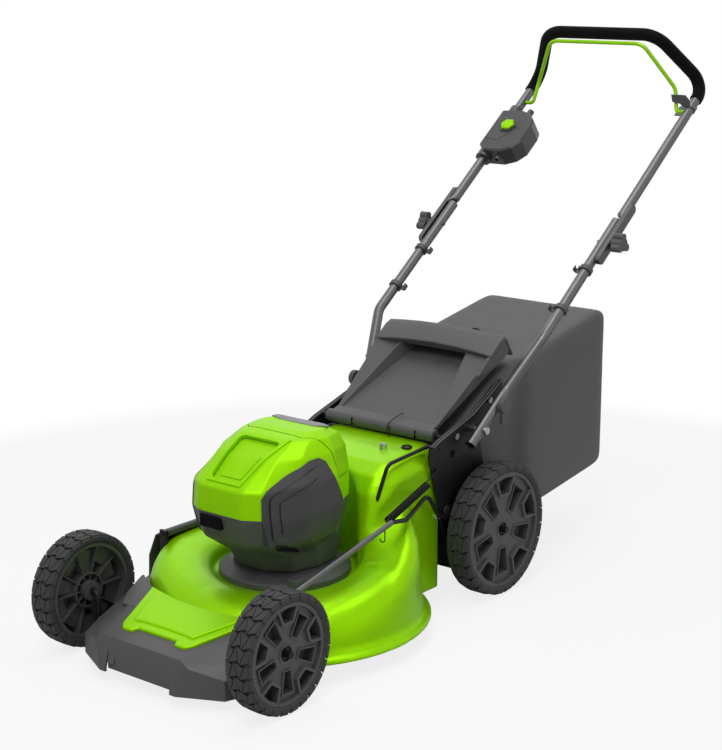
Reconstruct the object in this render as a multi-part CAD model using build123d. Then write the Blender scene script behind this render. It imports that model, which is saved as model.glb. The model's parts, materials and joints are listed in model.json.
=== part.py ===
"""Walk-behind lawn mower: round steel deck, battery motor pod, rear bag, folding handle.

Millimetres. +X is the mower's left, +Y points backwards to the user, +Z is up.
The pieces are drawn from the front axle line (y = 0) on the ground (z = 0), and are moved
in Y when they are written, so that the origin is the middle of the whole box on the ground.
"""
import math
import os

from build123d import *

os.makedirs("parts", exist_ok=True)

# Wheels and axles
front_radius = 102.0
rear_radius = 127.0
tyre_width = 50.0
front_outer_x = 253.0
rear_outer_x = 205.0
wheelbase = 668.0
sidewall = 17.0
tread_depth = 4.0
lug_count = 26
web_thickness = 4.0
web_sink = 6.0
pocket_depth = 16.0
axle_radius = 6.0
crank_length = 54.0
arm_half = 9.0
arm_thickness = 3.8
lever_reach = 148.0
front_crank_x = 192.0
running = 0.05
seat_gap = 0.3

# Height linkage
tie_arm = 75.0
tie_radius = 5.0
link_radius = 4.0
tie_x = 183.0
pin_radius = 4.0
spring_x = 166.0
spring_radius = 6.0
spring_wire = 2.2
spring_pitch = 3.0
spring_turns = 40
hook_radius = 5.5
spring_hole_y = 520.8
spring_hole_z = 265.7

# Deck
deck_y = 272.0
deck_wall = 2.5
seat_z = 112.0
seat_radius = 120.0
crest_z = 152.0
crest_radius = 180.0
skirt_radius = 246.0
rim_radius = 262.0
rim_z = 30.0
chute_half = 136.0
chute_rear_y = 548.0
chute_top_z = 308.0
chute_round = 40.0
shaft_hole = 24.0

# Motor pod
base_top_z = 138.0
base_neck = 92.0
base_radius = 118.0
pod_split_z = 254.0
pod_wall = 3.0
bay_thickness = 3.0
lid_front_y = 289.0
lid_low_z = 300.0
lid_gap = 0.6
panel_skin = 2.5

# Blade and motor
blade_length = 456.0
blade_width = 54.0
blade_z = 62.0
blade_thickness = 4.0
shaft_radius = 8.0
bearing_radius = 22.0
stator_radius = 60.0
rotor_radius = 31.0
air_gap = 1.0
stator_height = 48.0
adapter_height = 26.0
adapter_radius = 20.0

# Handle
tube_radius = 10.0
tube_wall = 1.8
foam_radius = 13.0
handle_slope = 37.0
handle_x = 204.0
line_y = 1000.0
line_z = 638.0
lower_x = 164.0
plate_x = 141.0
plate_thickness = 3.0
fold_y = 992.0
lap_x = 199.0
shoe_thickness = 9.0
bail_radius = 4.0
bail_y = 1300.0
pivot_y = 636.0
pivot_z = 322.0
bend_y = 1367.0
top_x = 132.0
top_y = 1285.0
top_z = 1019.0
low_bend = 40.0
high_bend = 55.0
lap_end_y = 1040.0
lock_y = 688.0
lock_z = 360.0
lock_radius = 15.0
foam_y = 1330.0
stop_y = 1310.0
box_y = 1209.0
box_low = -19.0
box_high = 23.0
button_x = -176.0
button_along = 12.0
button_radius = 16.0
knob_reach = 14.0
knob_lobe = 7.5
knob_core = 13.0

# Flap and bag
flap_y = 545.0
flap_z = 322.0
flap_slope = 36.5
barrel_radius = 12.0
barrel_half = 127.0
rod_radius = 4.0
bag_half = 148.0
bag_neck_half = 134.0
bag_wall = 3.0
bag_front_y = 566.0
bag_round = 16.0
shield_y = 706.0
shield_z = 92.0
door_x = -208.0
door_z = 160.0
door_rod = 3.0
door_length = 176.0
flap_half = 140.0
flap_wire = 0.9
flap_wire_x = 30.0
accessory_y = 575.0
accessory_z = 285.0
accessory_radius = 8.0

pieces = {}


def line_height(y):
    """Height of the straight handle tubes at a distance back."""
    return line_z + math.tan(math.radians(handle_slope)) * (y - line_y)


def yz_prism(points, x_low, x_high):
    """Solid with an outline drawn in the side view."""
    face = make_face(Polyline(*[(x_low, y, z) for y, z in points], close=True).edges())
    return extrude(face, amount=x_high - x_low, dir=(1, 0, 0))


def xy_prism(points, z_low, z_high):
    """Solid with an outline drawn in the plan view."""
    face = make_face(Polyline(*[(x, y, z_low) for x, y in points], close=True).edges())
    return extrude(face, amount=z_high - z_low, dir=(0, 0, 1))


def bar_x(x_low, x_high, y, z, radius):
    """Round bar along X."""
    return Pos((x_low + x_high) / 2, y, z) * Rot(0, 90, 0) * Cylinder(radius, x_high - x_low)


def block(x_low, x_high, y_low, y_high, z_low, z_high):
    """Rectangular block between two corners."""
    centre = Pos((x_low + x_high) / 2, (y_low + y_high) / 2, (z_low + z_high) / 2)
    return centre * Box(x_high - x_low, y_high - y_low, z_high - z_low)


def rod(points, radii, radius, bore=0.0):
    """Round rod or tube bent along straight runs with arcs at the corners."""
    path = FilletPolyline(*points, radius=radii) if len(points) > 2 else Polyline(*points)
    section = Circle(radius) - Circle(bore) if bore else Circle(radius)
    start = Plane(origin=path @ 0, z_dir=path % 0)
    return sweep(start * section, path=path)


def both(shape):
    """A left-hand piece and its mirror image."""
    return [shape, mirror(shape, about=Plane.YZ)]


def mirrored(points):
    """Points of the left half carried on over the middle to the right half."""
    return points + [(-x, y, z) for x, y, z in reversed(points)]


def revolved(points, centre_y):
    """Solid of revolution about a vertical line, from (radius, height) edges."""
    return Pos(0, centre_y, 0) * revolve(make_face(points), Axis.Z)


# Wheels


def tyre(radius):
    """Rubber ring with two staggered rows of skewed tread grooves."""
    half = tyre_width / 2
    inner = radius - sidewall
    outline = Polyline(
        (inner, 0, half - 5), (inner + 4, 0, half - 1), (radius - 9, 0, half), (radius - 2, 0, half - 6),
        (radius, 0, half - 12), (radius, 0, 12 - half), (radius - 2, 0, 6 - half), (radius - 9, 0, -half),
        (inner + 4, 0, 1 - half), (inner, 0, 5 - half), close=True,
    )
    ring = revolve(make_face(outline.edges()), Axis.Z)
    grooves = []
    for index in range(lug_count):
        turn = 360 * (index + 0.5) / lug_count
        for side, skew in ((1, 24), (-1, -24)):
            shift = 180 / lug_count if side < 0 else 0
            cut = Pos(radius, 0, side * half * 0.55) * Rot(skew, 0, 0) * Box(2 * tread_depth, 3.2, half)
            grooves.append(Rot(0, 0, turn + shift) * cut)
    return ring - grooves


def window(rim, tall):
    """Outline of one wheel window, pointing along local X."""
    if tall:
        points = [(0.34, 0.08), (0.78, 0.15), (0.78, -0.15), (0.34, -0.08)]
    else:
        points = [(0.64, 0.12), (0.895, 0.23), (0.925, 0), (0.895, -0.23), (0.64, -0.12)]
    return make_face(Polyline(*[(rim * x, rim * y) for x, y in points], close=True).edges())


def hub(radius):
    """Plastic wheel with a sunk star web, ten framed pocket windows, ribs behind and a bored boss."""
    rim = radius - sidewall - running
    face = tyre_width / 2 - 4
    web_top = face - web_sink
    body = Cylinder(rim, 2 * face) - Cylinder(rim - 6, tyre_width)
    body += Pos(0, 0, web_top - web_thickness / 2) * Cylinder(rim - 2, web_thickness)
    body += Pos(0, 0, (web_top + 1 - face) / 2) * Cylinder(17, face + web_top + 1)
    body += Pos(0, 0, web_top - 15) * (Cylinder(31, 28) - Cylinder(28.5, 28))
    ribs = [
        Rot(0, 0, 36 * index + 18) * block(12, rim - 3, -1.1, 1.1, web_top - 26, web_top - 1)
        for index in range(10)
    ]
    body += ribs
    frames = []
    holes = []
    floor = web_top - pocket_depth
    for index in range(10):
        tall = index % 2 == 0
        outline = window(rim, tall)
        turn = Rot(0, 0, 36 * index)
        margin, top = (2.4, web_top + 3) if tall else (4.5, face)
        frames.append(turn * Pos(0, 0, floor - 2) * extrude(offset(outline, margin), top - floor + 2))
        holes.append(turn * Pos(0, 0, floor) * extrude(outline, pocket_depth + 20))
    outside = Cylinder(rim + 40, 100) - Cylinder(rim, 100)
    body = body + frames - outside - holes
    body -= Pos(0, 0, web_top + 1) * Cylinder(13, 12)
    return body - Cylinder(axle_radius + running, 2 * tyre_width)


def place_wheels():
    """Both pieces of the four wheels, outer faces outwards."""
    for end, radius, y, outer in (
        ("front", front_radius, 0.0, front_outer_x),
        ("rear", rear_radius, wheelbase, rear_outer_x),
    ):
        rubber = tyre(radius)
        plastic = hub(radius)
        centre = outer - tyre_width / 2
        for side, sign in (("left", 1), ("right", -1)):
            spot = Pos(sign * centre, y, radius) * Rot(0, sign * 90, 0)
            pieces[f"tyre_{end}_{side}"] = spot * rubber
            pieces[f"wheel_{end}_{side}"] = spot * plastic


def axles():
    """Bent front crank axle, rear crank axle with plate arms, nuts, lever and saddles."""
    front_pivot = front_radius - crank_length
    end_x = front_outer_x + 1
    crank = [(front_crank_x, 0, front_radius), (front_crank_x, 0, front_pivot)]
    axle = rod(mirrored([(end_x, 0, front_radius)] + crank), 13, axle_radius)
    arm_top = front_pivot + tie_arm
    axle += block(front_crank_x - 2, front_crank_x + 2, -8, 8, front_radius - 10, arm_top + 9)
    axle += bar_x(tie_x - 5, front_crank_x, 0, arm_top, pin_radius)
    pieces["front_axle"] = axle

    rear_pivot = rear_radius - crank_length
    arm_in = plate_x + plate_thickness + 0.6
    arm_out = arm_in + arm_thickness
    arm_top = rear_pivot + tie_arm
    arm_front, arm_back = wheelbase - arm_half, wheelbase + arm_half
    rear = bar_x(-arm_out, arm_out, wheelbase, rear_pivot, axle_radius)
    for sign in (1, -1):
        low = min(sign * arm_in, sign * arm_out)
        rear += block(low, low + arm_thickness, arm_front, arm_back, rear_pivot - 10, arm_top + 9)
        ends = sorted((sign * (rear_outer_x + 1), sign * arm_out))
        rear += bar_x(*ends, wheelbase, rear_radius, axle_radius)
    rear += bar_x(arm_out, arm_out + 4.2, wheelbase, arm_top, pin_radius)
    lever_top = rear_radius + lever_reach
    rear += yz_prism(
        [(arm_front, arm_top), (arm_back, arm_top),
         (wheelbase - 8, lever_top), (wheelbase - 26, lever_top)],
        -arm_out, -arm_in,
    )
    pieces["rear_axle"] = rear
    grip = bar_x(-arm_out - 54, -arm_out - 0.1, wheelbase - 17, lever_top - 6, 9)
    pieces["height_lever"] = fillet(grip.edges(), 3)

    for end, outer, y, radius in (
        ("front", front_outer_x, 0, front_radius),
        ("rear", rear_outer_x, wheelbase, rear_radius),
    ):
        face = outer - 4 - web_sink + 1 - 6 + seat_gap
        nut = Pos(face + 2.5, y, radius) * Rot(0, 90, 0) * extrude(RegularPolygon(9.5, 6), 2.2, both=True)
        nut -= bar_x(face - 3, face + 9, y, radius, axle_radius)
        pieces[f"{end}_axle_nuts"] = Compound(children=both(nut))

    saddle = block(48, 72, -10, 48, front_pivot - 11, front_pivot + 11)
    saddle -= bar_x(40, 80, 0, front_pivot, axle_radius + running)
    saddle -= deck_form(0.0)
    pieces["axle_saddles"] = Compound(children=both(saddle.solids()[0]))


def helix_path(start, along, side, radius, pitch, turns):
    """Unbroken winding of half-turn biarcs about a slanted line, with its end points."""
    axis = Vector(*along).normalized()
    first = Vector(*side).normalized()
    second = axis.cross(first)
    origin = Vector(*start)
    slope = pitch / (2 * math.pi)

    def point(angle):
        across = first * (radius * math.cos(angle)) + second * (radius * math.sin(angle))
        return origin + axis * (slope * angle) + across

    def heading(angle):
        turn = second * (radius * math.cos(angle)) - first * (radius * math.sin(angle))
        return (axis * slope + turn).normalized()

    edges = []
    for step in range(int(round(2 * turns))):
        a, b = math.pi * step, math.pi * (step + 1)
        edges += biarc(point(a), heading(a), point(b), heading(b))
    return edges, point(0), heading(0), point(2 * math.pi * turns), heading(2 * math.pi * turns)


def biarc(p, t, q, u):
    """Two arcs that leave p along t, meet smoothly and arrive at q along u."""
    chord = q - p
    both_ways = t + u
    square = 2 * (t.dot(u) - 1)
    middle = chord.dot(both_ways)
    root = math.sqrt(middle * middle - square * chord.dot(chord))
    reach = (root - middle) / -square if abs(square) > 1e-9 else chord.dot(chord) / (2 * middle)
    reach = abs(reach)
    a = p + t * reach
    b = q - u * reach
    joint = (a + b) * 0.5
    return [TangentArc(p, joint, tangent=t), TangentArc(joint, q, tangent=b - a)]


def winding_gap(radius, pitch, wire):
    """Least clear space between one turn and the next, measured on points."""
    slope = pitch / (2 * math.pi)
    gaps = []
    for step in range(90, 271):
        angle = 2 * math.pi * step / 180
        gaps.append(math.hypot(2 * radius * math.sin(angle / 2), slope * angle) - wire)
    return min(gaps)


def height_linkage():
    """Tie rod, bent link and the extension spring beside them."""
    front_pin = front_radius - crank_length + tie_arm
    rear_pin = rear_radius - crank_length + tie_arm
    joint_y, joint_z = 346.0, 219.0
    tube = rod([(tie_x, 7, front_pin + 4), (tie_x, 92, 164), (tie_x, joint_y, joint_z)], 40, tie_radius)
    eye = bar_x(tie_x - 4, tie_x + 4, 0, front_pin, 9)
    tube = tube + eye - bar_x(tie_x - 9, tie_x + 9, 0, front_pin, pin_radius + 0.3)
    pieces["tie_rod"] = tube
    arm_out = plate_x + plate_thickness + 0.6 + 3.8
    eye_x = arm_out + 2.3
    link = rod(
        [
            (tie_x, joint_y, joint_z), (tie_x - 4, 392, 211), (158, 482, 232),
            (eye_x, 528, 176), (eye_x, wheelbase - 7, rear_pin + 1),
        ],
        [25, 30, 22], link_radius,
    )
    flat = block(eye_x - 1.7, eye_x + 1.7, 480, wheelbase + 20, 100, 260)
    nose = block(140, 200, 300, 540, 150, 300)
    link = (link & nose) + (link & flat)
    link += bar_x(eye_x - 1.7, eye_x + 1.7, wheelbase, rear_pin, 9)
    link -= bar_x(eye_x - 9, eye_x + 9, wheelbase, rear_pin, pin_radius + 0.3)
    pieces["tie_link"] = max((link - tube).solids(), key=lambda s: s.volume)

    start = (spring_x, 356, 216)
    along = (0, 0.947, 0.321)
    down = (0, 0.321, -0.947)
    winding = helix_path(start, along, down, spring_radius, spring_pitch, spring_turns)
    edges, first, leave, last, arrive = winding
    hook_x, hook_y, hook_z = spring_x - 0.5, 342.0, 186.0
    curl = ThreePointArc(
        (hook_x - hook_radius, hook_y, hook_z),
        (hook_x, hook_y, hook_z - hook_radius),
        (hook_x + hook_radius, hook_y, hook_z),
    )
    bend = Vector(hook_x + hook_radius, hook_y, hook_z)
    shank = bend + Vector(0, 0, 14)
    tail = Vector(152, last.Y + 14, last.Z + 4.7)
    reach = tail + Vector(*along) * 24
    through = Vector(plate_x + plate_thickness + 1, spring_hole_y - 3.7, spring_hole_z - 1.2)
    path = Wire(
        [curl, Line(bend, shank)]
        + biarc(shank, Vector(0, 0, 1), first, leave)
        + edges
        + biarc(last, arrive, tail, Vector(*along).normalized())
        + [Line(tail, reach)]
        + biarc(reach, Vector(*along).normalized(), through, Vector(-1, 0, 0))
        + [Line(through, through - Vector(6, 0, 0))]
    )
    section = Plane(origin=path @ 0, z_dir=path % 0) * Circle(spring_wire / 2)
    pieces["lift_spring"] = sweep(section, path=path)
    print("lift spring gap between turns", round(winding_gap(spring_radius, spring_pitch, spring_wire), 2))


# Deck and front


def deck_edges(inset):
    """Half section of the blade chamber, moved inwards by the wall."""
    t = inset
    points = [
        (0, seat_z - t),
        (seat_radius + 0.6 * t, seat_z - t),
        (seat_radius + 12 + 0.6 * t, seat_z + 16 - 0.6 * t),
    ]
    low = rim_z if t <= 0 else rim_z - 5
    crown = (crest_radius, crest_z - t)
    shoulder = (skirt_radius - 3 - t, 92)
    skirt = [(skirt_radius - t, 50), (rim_radius - t, 38 - 0.4 * t), (rim_radius - t, low)]
    floor = (0, low)
    lines = Polyline(*[(r, 0, z) for r, z in points]).edges()
    lines += ThreePointArc(*[(r, 0, z) for r, z in (points[-1], crown, shoulder)]).edges()
    lines += Polyline(*[(r, 0, z) for r, z in [shoulder] + skirt + [floor, points[0]]]).edges()
    return lines


def chute_form(inset):
    """Rear discharge tunnel, moved inwards by the wall."""
    t = inset
    rear = chute_rear_y + (6 if t > 0 else 0)
    low = rim_z + (6 if t <= 0 else -5)
    top = chute_top_z - t
    points = [
        (345 + t, low), (350 + t, 150), (374 + t, 250 - t), (424, 292 - t), (474, 303 - t),
        (rear, top), (rear, low),
    ]
    half = chute_half - t
    body = yz_prism(points, -half, half)
    edges = [
        e for e in body.edges()
        if abs(abs(e.center().X) - half) < 0.1 and e.center().Z > 240 and e.center().Y < rear - 1
    ]
    return fillet(edges, chute_round - t)


def deck_form(inset):
    """Outer or inner shape of the whole deck."""
    bowl = revolved(deck_edges(inset), deck_y)
    pocket = Pos(0, deck_y, seat_z + 150 - inset) * Cylinder(seat_radius + 8 + inset, 300)
    return bowl + (chute_form(inset) - pocket)


def deck():
    """Thin steel shell, open below and at the rear, with the motor hole and a side opening."""
    shell = deck_form(0.0) - deck_form(deck_wall)
    shell -= Pos(0, deck_y, seat_z) * Cylinder(shaft_hole, 40)
    shell -= block(-rim_radius - 5, -200, deck_y - 60, deck_y + 60, 52, 100)
    pieces["deck"] = max(shell.solids(), key=lambda s: s.volume)


def bumper_top(rise):
    """Sloping top plane of the bumper, raised by a distance."""
    return Plane(origin=(0, -83, 77 + rise), x_dir=(1, 0, 0), z_dir=(0, -0.19, 1))


def bumper_form(inset):
    """Wedge-nosed bumper block with facets, moved inwards by the wall."""
    t = inset
    half = [(88, -96 + t), (164 - t, -59 + t), (180 - t, -10), (184 - t, 112)]
    outline = half + [(-x, y) for x, y in reversed(half)]
    body = xy_prism(outline, 18 - (6 if t > 0 else 0), 150)
    body = split(body, bisect_by=bumper_top(-t), keep=Keep.BOTTOM)
    front = Plane(origin=(0, -96 + t, 23), x_dir=(1, 0, 0), z_dir=(0, -54, 13))
    body = split(body, bisect_by=front, keep=Keep.BOTTOM)
    for sign in (1, -1):
        a = Vector(sign * (98 - t), -76, 76 - t)
        b = Vector(sign * (166 - t), 112, 112 - t)
        c = Vector(sign * (172 - t), -52, 52 - t)
        normal = (b - a).cross(c - a) * sign
        if normal.Z < 0:
            normal = normal * -1
        body = split(body, bisect_by=Plane(origin=a, x_dir=b - a, z_dir=normal), keep=Keep.BOTTOM)
    return body


def front_end():
    """Bumper shell, its trim plate and the bumper's seat on the deck."""
    wall = 4.0
    chin = block(-75, 75, -110, -88, 0, 60)
    shell = bumper_form(0.0) - bumper_form(wall) - chin
    shell += block(-76, 76, -88, -85, 22, 64) & bumper_form(0.0)
    reach = Pos(0, deck_y, 0) * Cylinder(rim_radius + seat_gap, 84)
    shell -= Pos(0, 0, seat_gap) * deck_form(-seat_gap)
    shell -= reach
    front_pivot = front_radius - crank_length
    shell -= bar_x(-240, 240, 0, front_pivot, axle_radius + 3)
    pieces["front_bumper"] = max(shell.solids(), key=lambda s: s.volume)

    half = [(74, -42), (83, -40), (99, 50), (60, 60)]
    outline = half + [(-x, y) for x, y in reversed(half)]
    plate = xy_prism(outline, 40, 180)
    plate = split(plate, bisect_by=bumper_top(5), keep=Keep.BOTTOM)
    plate = split(plate, bisect_by=bumper_top(0), keep=Keep.TOP)
    plate -= block(-44, 44, -60, -34, 40, 180)
    plate -= Pos(0, deck_y, 100) * Cylinder(skirt_radius - 2, 200)
    pieces["bumper_trim"] = max(plate.solids(), key=lambda s: s.volume)


# Motor pod


def ring_points(half):
    """Closed outline from the points of its left half."""
    return half + [(-x, y) for x, y in reversed(half)]


def pod_form(sections, inset):
    """Faceted body lofted through level outlines, moved inwards by the wall."""
    faces = []
    for level, half in sections:
        middle = sum(y for _, y in half) / len(half)
        moved = []
        for x, y in half:
            reach = math.hypot(x, y - middle)
            share = 1 - inset / reach
            moved.append((x * share, middle + (y - middle) * share))
        ring = Polyline(*[(x, y, level) for x, y in ring_points(moved)], close=True)
        faces.append(make_face(ring.edges()))
    return loft(faces, ruled=True)


lower_sections = [
    (base_top_z, [(34, 188), (70, 214), (86, 268), (76, 322), (40, 350)]),
    (170.0, [(38, 170), (76, 200), (92, 262), (84, 326), (46, 348)]),
    (204.0, [(50, 122), (80, 142), (101, 215), (106, 292), (78, 340)]),
    (pod_split_z, [(50, 107), (80, 124), (106, 205), (112, 292), (90, 344)]),
]
upper_sections = [
    (pod_split_z + bay_thickness, [(50, 107), (80, 124), (106, 205), (112, 292), (90, 344)]),
    (303.0, [(49, 109), (78, 127), (104, 205), (110, 290), (90, 345)]),
    (345.0, [(48, 172), (66, 178), (92, 214), (101, 288), (84, 342)]),
    (368.0, [(47, 224), (60, 230), (78, 250), (88, 290), (76, 332)]),
    (377.0, [(40, 264), (50, 268), (62, 280), (66, 298), (56, 320)]),
]


def motor_pod():
    """Base ring, shroud, bay plate, cover, lid and side panels."""
    base = revolved(
        Polyline(
            (bearing_radius, 0, seat_z), (base_radius, 0, seat_z), (base_radius, 0, seat_z + 12),
            (base_neck, 0, base_top_z), (bearing_radius, 0, base_top_z), close=True,
        ).edges(),
        deck_y,
    )
    pieces["motor_base"] = base
    shroud = pod_form(lower_sections, 0.0) - pod_form(lower_sections, pod_wall)
    pieces["motor_shroud"] = shroud
    bay = lower_sections[-1][1]
    middle = sum(y for _, y in bay) / len(bay)
    inner = [(x * 0.985, middle + (y - middle) * 0.985) for x, y in bay]
    pieces["battery_bay"] = xy_prism(ring_points(inner), pod_split_z, pod_split_z + bay_thickness)

    outer = pod_form(upper_sections, 0.0)
    cavity = [(level, half) for level, half in upper_sections[:-1]]
    cavity.append((upper_sections[-1][0] - pod_wall, upper_sections[-1][1]))
    hollow = pod_form(cavity, pod_wall)
    shell = outer - hollow
    lid_zone = block(-140, 140, lid_front_y, 400, lid_low_z, 420)
    gap_zone = block(-140, 140, lid_front_y - lid_gap, 400, lid_low_z - lid_gap, 420)
    cover = shell - gap_zone
    lid = shell & lid_zone
    strip = block(-66, 66, 306, 322, 340, 420)
    pieces["top_cover"] = max(cover.solids(), key=lambda s: s.volume)
    pieces["battery_lid"] = max((lid - strip).solids(), key=lambda s: s.volume)
    pieces["lid_window"] = max((lid & strip).solids(), key=lambda s: s.volume)

    outline = [
        (112, 296), (124, 314), (232, 344), (250, 342), (262, 326), (lid_front_y - 4, 268),
        (lid_front_y - 4, 215), (268, 188), (186, 190), (124, 212), (110, 228),
    ]
    skin = pod_form(lower_sections + upper_sections, -panel_skin)
    core = pod_form(lower_sections + upper_sections, 0.0)
    panel = yz_prism(outline, 20, 140) & (skin - core)
    left = max(panel.solids(), key=lambda s: s.volume)
    pieces["side_panel_left"] = left
    pieces["side_panel_right"] = mirror(left, about=Plane.YZ)


def motor():
    """Stator, rotor, bearings, electronics, battery and blade."""
    stator_top = base_top_z + stator_height
    middle = Pos(0, deck_y, base_top_z + stator_height / 2)
    stator = middle * Cylinder(stator_radius, stator_height)
    stator -= middle * Cylinder(rotor_radius + air_gap, stator_height)
    cap = Pos(0, deck_y, stator_top + 5) * (Cylinder(stator_radius, 10) - Cylinder(bearing_radius, 10))
    pieces["motor_stator"] = stator + cap
    ring = Cylinder(bearing_radius, 9) - Cylinder(shaft_radius + running, 9)
    pieces["motor_bearings"] = Compound(
        children=[Pos(0, deck_y, seat_z + 10) * ring, Pos(0, deck_y, stator_top + 5) * ring]
    )
    low = blade_z + blade_thickness
    shaft_top = stator_top + 11
    rotor = Pos(0, deck_y, (low + shaft_top) / 2) * Cylinder(shaft_radius, shaft_top - low)
    rotor += middle * Cylinder(rotor_radius, stator_height - 6)
    pieces["motor_rotor"] = rotor
    adapter = Pos(0, deck_y, low + adapter_height / 2) * (
        Cylinder(adapter_radius, adapter_height) - Cylinder(shaft_radius, adapter_height)
    )
    adapter += Pos(0, deck_y, low + 3) * (Cylinder(34, 6) - Cylinder(shaft_radius, 6))
    pieces["blade_adapter"] = adapter
    half = blade_length / 2
    blade = block(-half, half, deck_y - blade_width / 2, deck_y + blade_width / 2, blade_z, low)
    for sign in (1, -1):
        tip = block(half - 90, half, 0, 20, 0, 3.5)
        wing = Pos(0, blade_width / 2 - 3, blade_thickness) * tip
        wing = Pos(0, deck_y, blade_z) * Rot(0, 0, 0 if sign > 0 else 180) * wing
        blade += wing
    pieces["blade"] = blade
    bolt_height = 9.0
    bolt = Pos(0, deck_y, blade_z - bolt_height) * extrude(RegularPolygon(11, 6), bolt_height - 3)
    bolt += Pos(0, deck_y, blade_z - 1.5) * Cylinder(17, 3)
    pieces["blade_bolt"] = bolt
    deck_top = pod_split_z + bay_thickness
    pieces["battery_pack"] = block(-41, 41, 214, 318, deck_top, deck_top + 84)
    pieces["safety_key"] = block(-10, 10, 190, 200, deck_top, deck_top + 26)
    board = block(-44, 44, 132, 196, pod_split_z - 2, pod_split_z)
    board += [block(x, x + 12, 142, 182, pod_split_z - 22, pod_split_z - 2) for x in (-34, -6, 22)]
    pieces["control_board"] = board


# Rear: brackets, flap, bag, rods


def brackets():
    """Folded side plates that carry the handle, the flap, the shield and the rear axle."""
    low = plate_x
    high = plate_x + plate_thickness
    rear_pivot = rear_radius - crank_length
    top_edge = [(508, 312), (529, 320), (630, 350), (690, 380), (722, 399)]
    outline = top_edge + [
        (736, 388), (706, 352), (672, 318), (664, 286), (690, 190), (728, 112), (724, 84), (700, 56),
        (652, 56), (566, 96), (550, 140), (504, 292),
    ]
    plate = yz_prism(outline, low, high)
    lip = yz_prism(top_edge + [(y + 1, z - plate_thickness) for y, z in reversed(top_edge)], low, high + 7)
    plate += lip
    plate -= bar_x(low - 1, high + 1, wheelbase, rear_pivot, axle_radius + running)
    plate -= bar_x(low - 1, high + 1, flap_y, flap_z, rod_radius)
    plate -= bar_x(low - 1, high + 1, shield_y, shield_z, rod_radius)
    plate -= bar_x(low - 1, high + 1, pivot_y, pivot_z, rod_radius)
    holes = (
        (533, 302, 4), (560, 180, 9), (spring_hole_y, spring_hole_z, 5),
        (accessory_y, accessory_z, accessory_radius),
    )
    for y, z, r in holes:
        plate -= bar_x(low - 1, high + 1, y, z, r)
    pieces["handle_bracket_left"] = plate
    pieces["handle_bracket_right"] = mirror(plate, about=Plane.YZ)
    rods = [
        bar_x(-high, high, flap_y, flap_z, rod_radius),
        bar_x(-high, high, shield_y, shield_z, rod_radius),
    ]
    door = Pos(door_x, deck_y, door_z) * Rot(90, 0, 0) * Cylinder(door_rod, door_length + 24)
    ears = []
    for sign in (1, -1):
        y = deck_y + sign * (door_length / 2 + 7)
        ear = block(door_x - 8, door_x + 8, y - 3, y + 3, 60, door_z + 7) - deck_form(0.0)
        ears.append(max(ear.solids(), key=lambda s: s.center().Z))
    pieces["hinge_rods"] = Compound(children=rods + [door + ears])


def fasteners():
    """Handle pivot bolts with spacers, bracket bolts and deck bolts."""
    high = plate_x + plate_thickness
    bolt = bar_x(plate_x - 3, lower_x + tube_radius + 4, pivot_y, pivot_z, rod_radius)
    bolt += bar_x(high, lower_x - tube_radius - seat_gap, pivot_y, pivot_z, 8)
    bolt += bar_x(lower_x + tube_radius + seat_gap, lower_x + tube_radius + 6, pivot_y, pivot_z, 7)
    bolts = both(bolt)
    for y, z in ((690, 366), (586, 316)):
        bolts += both(bar_x(high, high + 4, y, z, 6))
    for x, y in ((62, 474), (-62, 474)):
        head = Pos(x, y, 306) * Cylinder(7, 12) - chute_form(0.0)
        bolts.append(max(head.solids(), key=lambda s: s.center().Z))
    pieces["frame_bolts"] = Compound(children=bolts)


def guide():
    """Bent guide rod and ring on the tunnel's top."""
    bends = [(plate_x, 522, 308), (128, 522, 308), (128, 404, 300), (122, 380, 236)]
    bent = rod(bends, [6, 18], 3.5) - chute_form(0.0)
    wire = max(bent.solids(), key=lambda s: s.volume)
    ring = Pos(96, 500, 306) * Rot(4, 0, 0) * Torus(8, 2.4) - chute_form(0.0)
    pieces["deck_guides"] = Compound(children=[wire, max(ring.solids(), key=lambda s: s.volume)])


def slope_point(s, n):
    """Point on the flap at a distance up its slope and above it."""
    angle = math.radians(flap_slope)
    return (
        flap_y + s * math.cos(angle) - n * math.sin(angle),
        flap_z + s * math.sin(angle) + n * math.cos(angle),
    )


def rear_flap():
    """Hinged cover with a deepening recess, a brow and a rear lip."""
    side = [
        (6, -2), (6, 3), (200, 3), (206, 9), (250, 9),
        (259, 0), (249, -55), (245, -55), (252, -10), (180, -17),
    ]
    body = yz_prism([slope_point(s, n) for s, n in side], -flap_half, flap_half)
    angle = math.radians(flap_slope)
    normal = Vector(0, -math.sin(angle), math.cos(angle))
    face_plane = Plane(origin=(0, flap_y, flap_z), x_dir=(1, 0, 0), z_dir=normal)
    half = [(118, 0), (133, 200), (133, 240), (112, 262)]
    around = half + [(-x, along) for x, along in reversed(half)]
    plan = make_face(Polyline(*around, close=True).edges())
    body = body & (face_plane * Pos(0, 0, -80) * extrude(plan, 120))
    pan = make_face(Polyline((110, 24), (66, 196), (-66, 196), (-110, 24), close=True).edges())
    cut = face_plane * Pos(0, 0, -40) * extrude(pan, 80)
    floor_y, floor_z = slope_point(24, 1.5)
    lean = math.radians(flap_slope - 4.2)
    floor = Plane(origin=(0, floor_y, floor_z), x_dir=(1, 0, 0), z_dir=(0, -math.sin(lean), math.cos(lean)))
    body -= split(cut, bisect_by=floor, keep=Keep.TOP)
    body += bar_x(-barrel_half, barrel_half, flap_y, flap_z, barrel_radius)
    body -= bar_x(-barrel_half - 1, barrel_half + 1, flap_y, flap_z, rod_radius + running)
    pieces["rear_flap"] = max(body.solids(), key=lambda s: s.volume)
    leg = [
        (flap_wire_x, flap_y - 14.6, flap_z - 14.6),
        (flap_wire_x, flap_y - 13.7, flap_z + 1),
        (flap_wire_x + 1, flap_y - 12.6, flap_z + 6),
    ]
    pieces["flap_spring"] = rod(leg, 8, flap_wire)


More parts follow.
